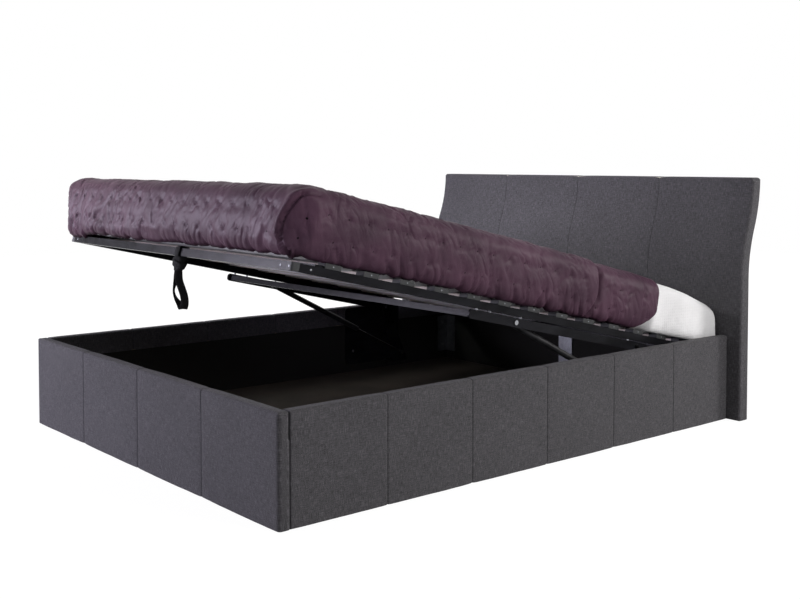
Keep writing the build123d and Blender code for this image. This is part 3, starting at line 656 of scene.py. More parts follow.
for number, (height, halfAcross, halfAlong, width, tilt) in enumerate(hitch["rings"]):
    ring = []
    for k in range(hitch["ringPoints"]):
        turn = 2 * math.pi * k / hitch["ringPoints"]
        rise = tilt * halfAcross * math.cos(turn) + hitch["ringWave"] * math.sin(2 * turn)
        ring.append(Vector((hitch["across"] + halfAcross * math.cos(turn),
                            hitch["along"] + halfAlong * math.sin(turn), height + rise)))
    line = smoothLine(ring, closed=True)
    flare, middle = hitch["ringFlare"], Vector((hitch["across"], hitch["along"]))
    wide = [Vector((-tilt, 0.0, 1)) + Vector((*(p.xy - middle) * flare, 0)) * 30 for p in line]
    hitchParts.append(bandAlong(f"hitchRing{number}", line, wide, width, hitch["thickness"], True))
    halfHeight = width * hitch["hubShare"]
    lens = softLens(hitch["across"], hitch["along"], height, halfAcross, halfAlong, halfHeight)
    hitchParts.append(makePiece(f"hitchHub{number}", *lens, finishes["black_webbing"]))
strapHitch = joinParts("strap_knot", hitchParts)
strapHitch.data.transform(liftAxes)
carry(strapHitch, "lift_frame", "black_webbing", "strap_hitch")
print("strap made")


# A closed outline with rounded corners, cut into short steps; gives points, outward ways and lengths
def roundedLoop(corners, radii, step):
    points = []
    count = len(corners)
    for number in range(count):
        before, here, after = (Vector(corners[(number + k) % count]) for k in (-1, 0, 1))
        radius = radii[number]
        if radius <= 0:
            points.append(here)
            continue
        inWay, outWay = (here - before).normalized(), (after - here).normalized()
        start, end = here - inWay * radius, here + outWay * radius
        for k in range(7):
            t = k / 6
            points.append(start * (1 - t) ** 2 + here * 2 * t * (1 - t) + end * t * t)
    cut = []
    for here, after in zip(points, points[1:] + points[:1]):
        pieces = max(1, math.ceil((after - here).length / step - 1e-6))
        cut += [here.lerp(after, k / pieces) for k in range(pieces)]
    lengths = [0.0]
    for here, after in zip(cut, cut[1:] + cut[:1]):
        lengths.append(lengths[-1] + (after - here).length)
    ways = []
    for number in range(len(cut)):
        tangent = (cut[(number + 1) % len(cut)] - cut[number - 1]).normalized()
        ways.append(Vector((-tangent.y, tangent.x)))
    return cut, ways, lengths


# Places along a panel: even steps, closer at each seam and at both rounded ends
stations = {
    "aroundSeam": (0.0007, 0.0015, 0.0025, 0.004, 0.006, 0.0085, 0.012),
    "clearOfSeam": 0.016,
    "clearOfEnd": 1.2,
    "endSteps": 6,
}


def stationsFor(start, end, seams, step, endRadius):
    count = math.ceil((end - start) / step)
    spots = [start + (end - start) * k / count for k in range(count + 1)]
    spots = [p for p in spots if all(abs(p - seam) > stations["clearOfSeam"] for seam in seams)]
    spots = [p for p in spots if min(p - start, end - p) > endRadius * stations["clearOfEnd"]]
    for seam in seams:
        spots += [seam] + [seam + way * gap for gap in stations["aroundSeam"] for way in (-1, 1)]
    for k in range(stations["endSteps"] + 1):
        gap = endRadius * (1 - math.cos(math.pi / 2 * k / stations["endSteps"]))
        spots += [start + gap, end - gap]
    return sorted(spots)


# How cloth lies by a seam, and how slack it is: shares, widths, and the grain of the noise along and across
drape = {
    "valleyShare": 0.45,
    "valleyWidth": 5,
    "puckerReach": 0.012,
    "puckerGrain": (75, 9),
    "slackGrain": 5.5,
    "fineGrain": (17, 15),
    "fineShare": 0.4,
}


# Fabric over a board: an outline swept along the panel, drawn in at each seam and rounded at its ends
def upholster(name, outline, radii, ends, seams, place, cover):
    loop, ways, lengths = roundedLoop(outline, radii, cover["step"])
    spots = stationsFor(*ends, seams, cover["stationStep"], cover["endRadius"])
    points, seamShade = [], []
    wide = max(point[0] for point in outline)
    high = max(point[1] for point in outline)
    for spot in spots:
        gapToEnd = min(spot - ends[0], ends[1] - spot)
        radius = cover["endRadius"]
        inset = radius - math.sqrt(max(radius ** 2 - max(radius - gapToEnd, 0) ** 2, 0))
        panelStart = max([ends[0]] + [seam for seam in seams if seam <= spot])
        panelEnd = min([ends[1]] + [seam for seam in seams if seam > spot])
        share = (spot - panelStart) / (panelEnd - panelStart)
        toSeam = min(abs(spot - seam) for seam in seams)
        for number, (point, way) in enumerate(zip(loop, ways)):
            v = lengths[number]
            crown = cover["crown"] * (1 - (2 * share - 1) ** 4)
            groove = cover["seamDepth"] * math.exp(-(toSeam / cover["seamWidth"]) ** 2)
            wideValley = math.exp(-(toSeam / (cover["seamWidth"] * drape["valleyWidth"])) ** 2)
            groove += cover["seamDepth"] * drape["valleyShare"] * wideValley
            across, along = drape["puckerGrain"]
            pucker = cover["pucker"] * bumps(v * across, spot * along, 3.7)
            pucker *= math.exp(-toSeam / drape["puckerReach"])
            slack = bumps(spot * drape["slackGrain"], v * drape["slackGrain"], 1.3)
            along, across = drape["fineGrain"]
            slack += drape["fineShare"] * bumps(spot * along, v * across, 6.1)
            lift = (crown - groove + pucker + cover["slack"] * slack) * cover["onFace"](*point)
            moved = point + way * max(lift, -cover["skin"])
            depth = min(max(moved.x, inset), wide - inset)
            points.append(place(spot, depth, min(max(moved.y, bed["floorGap"]), high - inset)))
            # painted shade along the seam: darkest on it, fading within the seam's width
            seamShade.append(math.exp(-(toSeam / cover["seamWidth"]) ** 2))
    around = len(loop)
    faces = ringQuads(len(spots), around)
    clothMap = [(along, across) for across, along in ringMap(lengths, spots)]
    for i in (0, len(spots) - 1):
        faces.append([i * around + j for j in range(around)])
        clothMap += [tuple(point) for point in loop]
    return makePiece(name, points, faces, finishes["grey_linen"], clothMap, shade=seamShade)


# Box panels: the outer face, the rounded top and the flap inside, down to the lining
panel = {
    "height": 0.320,
    "thickness": 0.038,
    "flap": 0.0032,
    "liningTop": 0.2403,
    "step": 0.010,
    "stationStep": 0.013,
    "endRadius": 0.012,
    "endGap": 0.0012,
    "crown": 0.0012,
    "seamDepth": 0.0015,
    "seamWidth": 0.0018,
    "pucker": 0.0006,
    "slack": 0.0011,
    "skin": 0.0024,
    "middle": 0.020,
    "paddedAbove": 0.235,
}
panel["onFace"] = lambda depth, height: float(height > panel["paddedAbove"] or depth < panel["middle"])
panelOutline = [
    (0.0, bed["floorGap"]),
    (0.0, panel["height"]),
    (panel["thickness"], panel["height"]),
    (panel["thickness"], panel["liningTop"]),
    (panel["thickness"] - panel["flap"], panel["liningTop"]),
    (panel["thickness"] - panel["flap"], bed["floorGap"]),
]
panelRadii = [0.004, 0.011, 0.011, 0.0012, 0, 0.002]


def seamsBetween(start, end, count):
    return [start + (end - start) * (k + 1) / (count + 1) for k in range(count)]


half = bed["halfWidth"]
footSeams = seamsBetween(-half, half, 3)


# The slot behind the lining stops short of the panel's ends
def footPlace(spot, depth, height):
    if abs(spot) > half - panel["thickness"] and height < panel["liningTop"] + 0.001:
        depth += panel["flap"] * easeIn((depth - panel["middle"]) / 0.012)
    return spot, bed["footFace"] + depth, height


footCover = upholster("foot_cover", panelOutline, panelRadii, (-half, half), footSeams, footPlace, panel)
carry(footCover, "bed_base", "grey_linen", "foot_panel_cover")
sideStart = bed["footFace"] + panel["thickness"] + panel["endGap"]
sideSeams = seamsBetween(sideStart, bed["headFace"], 5)
for side, word in ((1, "right"), (-1, "left")):
    sideCover = upholster(
        f"side_cover_{word}", panelOutline, panelRadii, (sideStart, bed["headFace"]), sideSeams,
        lambda spot, depth, height, side=side: (side * (half - depth), spot, height),
        {**panel, "endRadius": 0.004},
    )
    carry(sideCover, "bed_base", "grey_linen", f"side_panel_cover_{word}")

# Headboard cover, leaning back in an S above the box
headboard = {
    "half": 0.868,
    "height": 0.920,
    "thickness": 0.055,
    "straight": 0.540,
    "lean": 0.070,
    "cornerRadius": 0.014,
    "step": 0.014,
    "stationStep": 0.016,
    "endRadius": 0.010,
    "crown": 0.0010,
    "seamDepth": 0.0012,
    "seamWidth": 0.0016,
    "pucker": 0.0004,
    "slack": 0.0012,
    "skin": 0.0023,
    "cornerDrop": 0.07,
    "outlineRadii": [0.004, 0.012, 0.012, 0.004],
}
headboard["onFace"] = lambda depth, height: 1.0


# How far the headboard leans back at a height: one arc away from the upright, and one back to it
def headboardLean(height):
    span = (headboard["height"] - headboard["straight"]) / 2
    sag = headboard["lean"] / 2
    radius = (span ** 2 + sag ** 2) / (2 * sag)
    rise = height - headboard["straight"]
    if rise <= 0:
        return 0.0
    if rise <= span:
        return radius - math.sqrt(radius ** 2 - rise ** 2)
    rest = max(2 * span - rise, 0.0)
    return headboard["lean"] - radius + math.sqrt(radius ** 2 - rest ** 2)


# The top is drawn down to round corners at both ends
def headboardPlace(spot, depth, height):
    gap = headboard["half"] - abs(spot)
    radius = headboard["cornerRadius"]
    drop = radius - math.sqrt(max(radius ** 2 - max(radius - gap, 0) ** 2, 0))
    near = headboard["cornerDrop"]
    fromTop = headboard["height"] - height
    if fromTop < near:
        height = headboard["height"] - near + (near - fromTop) * (near - drop) / near
    return spot, bed["headFace"] + depth + headboardLean(height), height


boardOutline = [
    (0.0, bed["floorGap"]),
    (0.0, headboard["height"]),
    (headboard["thickness"], headboard["height"]),
    (headboard["thickness"], bed["floorGap"]),
]
headEnds = (-headboard["half"], headboard["half"])
headCover = upholster("headboard_fabric", boardOutline, headboard["outlineRadii"], headEnds,
                      seamsBetween(*headEnds, 3), headboardPlace, headboard)
carry(headCover, "bed_base", "grey_linen", "headboard_cover")
print("covers made")


# A rounded block as one even lattice of quads, between two corners; some of its six faces can be left out
def softBlock(low, high, radius, cell, missing):
    counts = [max(3, round((high[a] - low[a]) / cell[a])) for a in range(3)]
    index, lattice, faces = {}, [], []

    def corner(spot):
        if spot not in index:
            index[spot] = len(lattice)
            lattice.append(spot)
        return index[spot]

    for axis in range(3):
        first, second = [a for a in range(3) if a != axis]
        for end in (0, counts[axis]):
            if (axis, -1 if end == 0 else 1) in missing:
                continue
            for i in range(counts[first]):
                for j in range(counts[second]):
                    quad = []
                    for di, dj in ((0, 0), (1, 0), (1, 1), (0, 1)):
                        spot = [0, 0, 0]
                        spot[axis], spot[first], spot[second] = end, i + di, j + dj
                        quad.append(corner(tuple(spot)))
                    faces.append(quad)
    low, high, radius = (np.array(v, float) for v in (low, high, radius))
    points = low + np.array(lattice) * (high - low) / np.array(counts)
    innerLow, innerHigh = low + radius, high - radius
    # a face that is left out keeps its edges square
    for axis, way in missing:
        if way < 0:
            innerLow[axis] = -math.inf
        else:
            innerHigh[axis] = math.inf
    heart = np.clip(points, innerLow, innerHigh)
    away = (points - heart) / radius
    length = np.linalg.norm(away, axis=1, keepdims=True)
    return heart + radius * away / np.maximum(length, 1e-9), faces


def readPoints(mesh):
    spots = np.empty(len(mesh.vertices) * 3, np.float32)
    mesh.vertices.foreach_get("co", spots)
    return spots.reshape(-1, 3).astype(float)


def writePoints(mesh, spots):
    mesh.vertices.foreach_set("co", np.asarray(spots, np.float32).ravel())
    mesh.update()


def readNormals(mesh):
    ways = np.empty(len(mesh.vertices) * 3, np.float32)
    mesh.vertex_normals.foreach_get("vector", ways)
    return ways.reshape(-1, 3).astype(float)


# Fills the piece by a cloth simulation: pressed out from inside, held at its pins, with some spare cloth
def inflate(piece, pins, spare, values):
    before = readPoints(piece.data)
    held = piece.vertex_groups.new(name="pins")
    held.add([int(n) for n in pins], 1.0, "REPLACE")
    piece.shape_key_add(name="Basis")
    slackKey = piece.shape_key_add(name="slack")
    slackKey.data.foreach_set("co", np.asarray(spare, np.float32).ravel())
    slackKey.value = 0.0
    cloth = piece.modifiers.new("cloth", "CLOTH")
    settings = cloth.settings
    settings.quality = values["quality"]
    settings.mass = values["mass"]
    settings.tension_stiffness = values["stretch"]
    settings.compression_stiffness = values["stretch"]
    settings.shear_stiffness = values["shear"]
    settings.bending_stiffness = values["bend"]
    settings.use_pressure = True
    settings.uniform_pressure_force = values["pressure"]
    settings.effector_weights.gravity = 0
    settings.vertex_group_mass = "pins"
    settings.rest_shape_key = slackKey
    cloth.collision_settings.use_collision = False
    cloth.point_cache.frame_end = values["frames"]
    for step in range(1, values["frames"] + 1):
        scene.frame_set(step)
    settled = piece.evaluated_get(bpy.context.evaluated_depsgraph_get())
    after = readPoints(settled.data)
    piece.modifiers.remove(cloth)
    piece.shape_key_clear()
    piece.vertex_groups.clear()
    scene.frame_set(1)
    move = after - before
    size = np.linalg.norm(move, axis=1, keepdims=True)
    limit = values["cap"]
    capped = limit * np.tanh(size / limit)
    writePoints(piece.data, before + move * capped / np.maximum(size, 1e-9))
    print(piece.name, "filled, largest move", round(float(size.max()), 4))


# Points of a staggered lattice over a rectangle
def staggered(start, end, pitch, rows):
    spots = []
    for number, row in enumerate(rows):
        shift = pitch / 2 if number % 2 else 0.0
        count = int((end - start - shift) / pitch) + 1
        spots += [(start + shift + k * pitch, row) for k in range(count)]
    return spots


# Quilt over the mattress: the filled satin, in the lift frame's axes
quilt = {
    "half": 0.770,
    "foot": -1.594,
    "hem": 0.0585,
    "top": 0.2655,
    "crown": 0.005,
    "radius": (0.052, 0.056, 0.050),
    "cell": (0.0068, 0.0066, 0.0072),
    "draw": 0.005,
    "tuck": 0.046,
    "tuckHeight": 0.085,
    "tuftPitch": 0.073,
    "rowPitch": 0.076,
    "tuftDepth": 0.0065,
    "spare": (1.085, 1.085, 1.015),
    "wall": 0.006,
    "rollIn": 0.4,
    "rollReach": 0.34,
    "drawnBackFrom": 0.2,
    "underEnd": (0.07, 0.06),
    "farTuck": 0.72,
    "farHang": 0.020,
    "farSide": -0.6,
    "hangShare": 6,
    # the sides turn under from the edge inwards: how far, and over what length that begins
    "turnedUnder": (0.12, 0.05),
    "crownEnd": 0.05,
    "swellFrom": 0.31,
    "swellOver": 0.08,
    # the part of the head end that sinks back, as a share of the height
    "sinkShare": 0.45,
}
quiltSim = {
    "quality": 4,
    "mass": 0.10,
    "stretch": 12,
    "shear": 4,
    "bend": 0.05,
    "pressure": 3.0,
    "frames": 20,
    "cap": 0.013,
}
# two lengths: the turned back one by the pillows lies under the end of the main one
lengths = {
    "quilt_satin": {
        "foot": -1.594,
        "head": -0.288,
        "thinner": 0.0,
        "bow": (0.034, 0.045),
        "turnUp": 0.030,
        "crown": 0.0,
    },
    "quilt_turnback": {
        "foot": -0.480,
        "head": 0.070,
        "thinner": 0.010,
        "bow": (0.016, 0.018),
        "turnUp": 0.115,
        "crown": 0.022,
    },
}
# the turned back length is pressed in where the main one's rolled end lies on it
groove = {
    "ahead": 0.005,
    "width": 0.012,
    "depth": 0.018,
    "sideReach": (0.08, 0.04),
    "topReach": (0.8, 0.15),
}


# How far the head end draws back from its furthest point, by height as a share of the quilt's
def drawBack(length, height):
    top, sink = length["bow"]
    low = np.clip(1 - height / quilt["sinkShare"], 0, 1)
    return top * height ** 4 + sink * low ** 2 * (1 - low) + length["turnUp"] * low ** 2


# How far the sides are drawn in at a height: they bulge in the middle and turn under at the hem
def tuckUnder(height):
    down = np.clip(1 - (height - quilt["hem"]) / quilt["tuckHeight"], 0, 1)
    return quilt["tuck"] * (1 - np.sqrt(1 - down ** 2))


# One length of quilt, open below; its head end rolls in and bows towards the head
def quiltForm(length):
    drawn = quilt["draw"] + length["thinner"]
    low = (-quilt["half"] + drawn, length["foot"] + drawn, quilt["hem"])
    high = (quilt["half"] - drawn, length["head"], quilt["top"] - drawn)
    missing = [(2, -1)] if length["foot"] < -1 else [(2, -1), (1, -1)]
    points, faces = softBlock(low, high, quilt["radius"], quilt["cell"], missing)
    aside, above = quilt["underEnd"]
    inner = [abs(p[1] - length["head"]) < 0.001 and abs(p[0]) < quilt["half"] - aside
             and p[2] < quilt["top"] - above for p in points]
    faces = [f for f in faces if not all(inner[k] for k in f)]
    used = sorted({k for f in faces for k in f})
    renumber = {old: new for new, old in enumerate(used)}
    faces = [[renumber[k] for k in f] for f in faces]
    x, s, n = points[used].T
    height = np.clip((n - quilt["hem"]) / (quilt["top"] - quilt["hem"]), 0, 1)
    share = np.clip((s - quilt["foot"]) / (quilt["crownEnd"] - quilt["foot"]), 0, 1)
    # the turned back length swells only beyond the end of the main one
    ahead = np.clip((s + quilt["swellFrom"]) / quilt["swellOver"], 0, 1)
    swelling = length["crown"] * (1 - (x / quilt["half"]) ** 2) * ahead
    n = n + (quilt["crown"] * 4 * share * (1 - share) + swelling) * height
    under = tuckUnder(n)
    deep, over = quilt["turnedUnder"]
    atSide = np.clip((np.abs(x) - quilt["half"] + deep) / over, 0, 1)
    x = x - np.where(x > 0, 1, -quilt["farTuck"]) * under * atSide
    s = s + under * np.clip((quilt["foot"] + deep - s) / over, 0, 1)
    # the head end is rolled tightly, and the far side hangs down over the tube
    gap, roll = length["head"] - s, quilt["radius"][1]
    nearRoll = np.clip((quilt["rollReach"] - gap) / (quilt["rollReach"] - roll), 0, 1)
    drawnOut = nearRoll * roll * (1 - quilt["rollIn"])
    s = np.where(gap < roll, length["head"] - gap * quilt["rollIn"], s + drawnOut)
    n = n - quilt["farHang"] * np.clip(1 - height * quilt["hangShare"], 0, 1) * (x < quilt["farSide"])
    nearHead = np.clip((s - length["head"] + quilt["drawnBackFrom"]) / quilt["drawnBackFrom"], 0, 1) ** 2
    s = s - nearHead * drawBack(length, height)
    if length["foot"] > -1:
        main = lengths["quilt_satin"]
        line = main["head"] - drawBack(main, height) + groove["ahead"]
        pressed = groove["depth"] * np.exp(-((s - line) / groove["width"]) ** 2)
        deep, over = groove["sideReach"]
        x = x - np.sign(x) * pressed * np.clip((np.abs(x) - quilt["half"] + deep) / over, 0, 1)
        start, over = groove["topReach"]
        n = n - pressed * np.clip((height - start) / over, 0, 1)
    return np.column_stack([x, s, n]), faces


# At a foot corner the side's spare cloth is folded under the foot's: a deep crease and a slack facet.
# The crease's line is given by heights and its places across
fold = {
    "heights": (0.060, 0.085, 0.120, 0.160, 0.200, 0.258),
    "places": (0.716, 0.700, 0.694, 0.708, 0.732, 0.765),
    "depth": 0.016,
    "width": 0.005,
    "lip": 0.010,
    "lipAway": 0.012,
    "lipWidth": 0.016,
    "lipCrease": 0.004,
    "facetStart": 0.014,
    "facetEnd": (0.767, 0.082),
    "facetShare": 0.8,
    "tufts": [(0.048, 0.166), (0.022, 0.104)],
    "reach": 0.07,
    "footReach": 0.12,
    "footFade": (0.11, 0.06),
    "topEnd": 0.262,
    "topFade": (0.264, 0.035),
    "farShare": 0.5,
}
# Places of the tufts: where the rows and lanes start and end, from the edges
tufting = {
    "firstRow": 0.92,
    "rows": 2,
    "mainStart": 0.115,
    "turnbackStart": 0.16,
    "sideEnd": 0.035,
    "footEnds": (0.035, 0.05),
    "laneStart": 0.040,
    "topShift": 0.02,
    "topEnd": 0.06,
}


# The lattice point nearest to each tuft
def tuftPins(points, length):
    drawn = quilt["draw"] + length["thinner"]
    side = quilt["half"] - drawn
    topRow = quilt["top"] - drawn
    rows = [topRow - quilt["rowPitch"] * (k + tufting["firstRow"]) for k in range(tufting["rows"])]
    main = length["foot"] < -1
    start = length["foot"] + (tufting["mainStart"] if main else tufting["turnbackStart"])
    targets = []
    for s, n in staggered(start, length["head"] - tufting["sideEnd"], quilt["tuftPitch"], rows):
        targets += [(side, s, n), (-side, s, n)]
    if main:
        targets += [(side, quilt["foot"] + along, n) for along, n in fold["tufts"]]
        first, last = tufting["footEnds"]
        for x, n in staggered(-side + first, side - last, quilt["tuftPitch"], rows):
            targets.append((x, quilt["foot"] + drawn, n))
    edge = tufting["laneStart"]
    count = int((2 * side - 2 * edge) / quilt["rowPitch"]) + 1
    lanes = [-side + edge + quilt["rowPitch"] * k for k in range(count)]
    start, end = start - tufting["topShift"], length["head"] - tufting["topEnd"]
    for s, x in staggered(start, end, quilt["tuftPitch"], lanes):
        targets.append((x, s, topRow))
    pins = set()
    for target in targets:
        gap = ((points - np.array(target)) ** 2).sum(axis=1)
        pins.add(int(gap.argmin()))
    return sorted(pins)


# A sharp valley, one deep, wherever the drift crosses nought
def valley(drift, width):
    return -max(0.0, 1 - abs(drift) / width) ** 1.5


creases = {
    "depth": 0.0060,
    "billow": 0.0038,
    "hemFold": 0.0070,
    "topSwell": 0.0030,
    "dimple": 0.0035,
    "dimpleWidth": 0.0070,
    "star": 0.0016,
    "starReach": 0.034,
    "starMiddle": 0.015,
    "starWidth": 0.010,
    "hemTop": (0.135, 0.05),
}


# How strong the creases of a side or of the foot are at a place, and where it is along their slant
def creasePatch(x, s, n, atSide):
    if atSide:
        along = s + 0.36 * n
        patch = 0.85 + 0.45 * easeIn((s + 1.45) / 0.5)
    else:
        along = x - (0.32 + 0.3 * x) * n
        patch = 0.50 + 0.75 * easeIn((0.35 - x) / 0.8)
    return along, patch * (0.65 + 0.9 * bumps(along * 5, n * 7, 5.5))


# Creases that run down the sides, deeper folds at the hem, a swell over the top and short ones at each tuft
def crease(piece, tufts):
    points = readPoints(piece.data)
    ways = readNormals(piece.data)
    move = np.zeros(len(points))
    hemStart, hemOver = creases["hemTop"]
    for number, (x, s, n) in enumerate(points):
        lying = max(0.0, ways[number][2]) ** 2
        along, patch = creasePatch(x, s, n, abs(ways[number][0]) > abs(ways[number][1]))
        low = easeIn((hemStart - n) / hemOver)
        main = valley(bumps(along * 24, n * 4.2, 0.5), 0.13)
        swell = bumps(along * 15, n * 8, 3.1)
        hem = valley(bumps(along * 13 + n * 9, n * 4, 6.4), 0.2) + 0.6 * bumps(along * 10, n * 6, 9.1)
        upright = patch * (creases["depth"] * main + creases["billow"] * swell)
        upright += creases["hemFold"] * hem * low
        flat = creases["topSwell"] * (bumps(x * 11, s * 13, 4.4) + valley(bumps(x * 9, s * 15, 7.7), 0.1))
        move[number] = upright * (1 - lying) + flat * lying
    for spot in points[tufts]:
        away = points - spot
        gap = np.linalg.norm(away, axis=1)
        near = gap < creases["starReach"]
        angle = np.arctan2(away[near][:, 2] + away[near][:, 1] * 0.3, away[near][:, 0] + away[near][:, 1])
        dip = creases["dimple"] * np.exp(-(gap[near] / creases["dimpleWidth"]) ** 2)
        ring = np.exp(-((gap[near] - creases["starMiddle"]) / creases["starWidth"]) ** 2)
        move[near] += creases["star"] * np.cos(angle * 4 + spot[1] * 60) * ring - dip
    writePoints(piece.data, points + ways * move[:, None])


# The fold is at both foot corners, and weaker at the far one
def cornerFold(piece):
    points = readPoints(piece.data)
    ways = readNormals(piece.data)
    footStart, footOver = fold["footFade"]
    topStart, topOver = fold["topFade"]
    for number, (x, s, n) in enumerate(points):
        if s > quilt["foot"] + fold["footReach"] or n > fold["topEnd"]:
            continue
        for side, amount in ((1, 1.0), (-1, fold["farShare"])):
            past = side * x - np.interp(n, fold["heights"], fold["places"])
            if past < -fold["reach"] or side * x < 0.5:
                continue
            fade = amount * easeIn((quilt["foot"] + footStart - s) / footOver)
            fade *= easeIn((topStart - n) / topOver)
            if past < 0:
                move = fold["lip"] * math.exp(-((past + fold["lipAway"]) / fold["lipWidth"]) ** 2)
                move -= fold["depth"] * math.exp(-(past / fold["lipCrease"]) ** 2)
            else:
                move = -fold["depth"] * math.exp(-(past / fold["width"]) ** 2)
                across = fold["facetEnd"][0] - (side * x - past)
                along = fold["facetEnd"][1] - fold["facetStart"]
                size = math.hypot(across, along)
                beyond = (past * along - (s - quilt["foot"] - fold["facetStart"]) * across) / size
                flat = fade * fold["facetShare"] * max(beyond, 0.0)
                points[number] += np.array([-side * along / size, across / size, 0]) * flat
            points[number] += ways[number] * move * fade
    writePoints(piece.data, points)


def layOnLift(piece):
    piece.data.transform(liftAxes)
    piece.data.update()


# Before it is filled, the form drifts slightly and its tufts are drawn in, less at the right; bands are held
unfilled = {
    "drift": 0.0012,
    "driftGrain": (38, 6),
    "rightShare": 0.45,
    "rightFrom": 0.3,
    "rightOver": 0.7,
    "hemBand": 0.002,
    "headBand": 0.016,
    "footBand": 0.012,
}
tuftPlaces = []
for name, length in lengths.items():
    points, faces = quiltForm(length)
    piece = makePiece(name, points, faces, finishes["purple_quilt"])
    points = readPoints(piece.data)
    tufts = tuftPins(points, length)
    # held at its hem, at its rolled head end, and where the turned back length runs under the main one
    height = np.clip((points[:, 2] - quilt["hem"]) / (quilt["top"] - quilt["hem"]), 0, 1)
    hem = points[:, 2] < quilt["hem"] + unfilled["hemBand"] - quilt["farHang"] * (points[:, 0] < 0)
    headEnd = points[:, 1] > length["head"] - drawBack(length, height) - unfilled["headBand"]
    footEnd = (points[:, 1] < length["foot"] + unfilled["footBand"]) & (length["foot"] > -1)
    border = np.where(hem | headEnd | footEnd)[0]
    ways = readNormals(piece.data)
    along, down = unfilled["driftGrain"]
    drift = [unfilled["drift"] * bumps((p[0] + p[1]) * along, p[2] * down, 2.2) for p in points]
    started = points + ways * np.array(drift)[:, None]
    least = unfilled["rightShare"]
    drawn = [least + (1 - least) * easeIn((unfilled["rightFrom"] - points[k][0]) / unfilled["rightOver"])
             for k in tufts]
    started[tufts] -= ways[tufts] * (quilt["tuftDepth"] * np.array(drawn))[:, None]
    writePoints(piece.data, started)
    inflate(piece, sorted(set(tufts) | set(border)), started * np.array(quilt["spare"]), quiltSim)
    if length["foot"] < -1:
        cornerFold(piece)
    crease(piece, tufts)
    spots, ways = readPoints(piece.data), readNormals(piece.data)
    tuftPlaces += [(spots[k], ways[k]) for k in tufts]
    layOnLift(piece)
    wall = piece.modifiers.new("wall", "SOLIDIFY")
    wall.thickness = quilt["wall"]
    wall.offset = -1
    carry(piece, "lift_frame", "purple_quilt", "quilt")
print("quilt made")

# Mattress: drawn in beneath the quilt, soft at its head end, which clears the headboard as it swings
mattress = {
    "half": 0.744,
    "foot": -1.572,
    "head": 0.4257,
    "base": 0.0612,
    "top": 0.2440,
    "reach": 0.4398,
    "bulge": 0.021,
    "radius": (0.020, 0.014, 0.050),
    "cell": (0.014, 0.010, 0.009),
    "underQuilt": 0.024,
    "pressed": 0.022,
    # places along, and the share of the height that is left there
    "sag": [(0.0, 1.0), (0.12, 0.975), (0.24, 0.905), (0.38, 0.80), (0.44, 0.70)],
    "pleat": 0.0045,
    "swell": 0.0030,
    "firstSlat": -1.404,
    "slatPitch": 0.140,
    "slatWidth": 0.060,
    "betweenSlats": 0.011,
    # pairs: where a change starts, and over what length it grows
    "coverEnd": (0.055, 0.04),
    "sideReach": (0.6, 0.14),
    "footReach": (0.15, 0.14),
    "pressedFrom": (0.5, 0.4),
    "softFrom": -0.1,
    "softEdge": 0.09,
    "bulgeFrom": (0.07, 0.15),
    "arcReach": 0.3,
    "slatsHalf": 0.68,
    "slatEdge": 0.012,
}
low = (-mattress["half"], mattress["foot"], mattress["base"])
high = (mattress["half"], mattress["head"], mattress["top"])
points, faces = softBlock(low, high, mattress["radius"], mattress["cell"], [])
sagPlaces, sagShares = zip(*mattress["sag"])


# From 0 at the start to 1 when the value has gone on by "over"
def ramped(value, start, over):
    return easeIn((value - start) / over)


for number, (x, s, n) in enumerate(points):
    height = (n - mattress["base"]) / (mattress["top"] - mattress["base"])
    coverEnd, over = mattress["coverEnd"]
    covered = easeIn((coverEnd - s) / over)
    inset = covered * (mattress["underQuilt"] + float(tuckUnder(n)))
    x -= math.copysign(inset * ramped(abs(x), *mattress["sideReach"]), x)
    footReach, over = mattress["footReach"]
    s += inset * easeIn((mattress["foot"] + footReach - s) / over)
    n -= covered * mattress["pressed"] * ramped(height, *mattress["pressedFrom"])
    if s > mattress["softFrom"]:
        lean = s - 0.3 * n
        fading = easeIn(s / 0.1) * (abs(x) > mattress["half"] - mattress["softEdge"])
        soft = mattress["swell"] * bumps(lean * 9, n * 6, 2.7)
        soft += mattress["bulge"] * ramped(s, *mattress["bulgeFrom"])
        soft += mattress["pleat"] * valley(bumps(lean * 26, n * 5, 4.1), 0.14) * easeIn(1 - height)
        x += math.copysign(soft * fading, x)
        n = mattress["base"] + (n - mattress["base"]) * float(np.interp(s, sagPlaces, sagShares))
        arc = math.sqrt(mattress["reach"] ** 2 - min(max(n, 0), 0.25) ** 2) - mattress["head"]
        s += arc * ramped(s, mattress["head"] - mattress["arcReach"], mattress["arcReach"])
    halfPitch = mattress["slatPitch"] / 2
    fromSlat = abs((s - mattress["firstSlat"] + halfPitch) % mattress["slatPitch"] - halfPitch)
    if s > mattress["firstSlat"] and abs(x) < mattress["slatsHalf"]:
        between = ramped(fromSlat, mattress["slatWidth"] / 2, mattress["slatEdge"])
        n -= mattress["betweenSlats"] * between * easeIn(1 - height * 8)
    points[number] = (x, s, n)
mattressPiece = makePiece("mattress_cover", points, faces, finishes["white_ticking"])
layOnLift(mattressPiece)
carry(mattressPiece, "lift_frame", "white_ticking", "mattress")
print("mattress made")


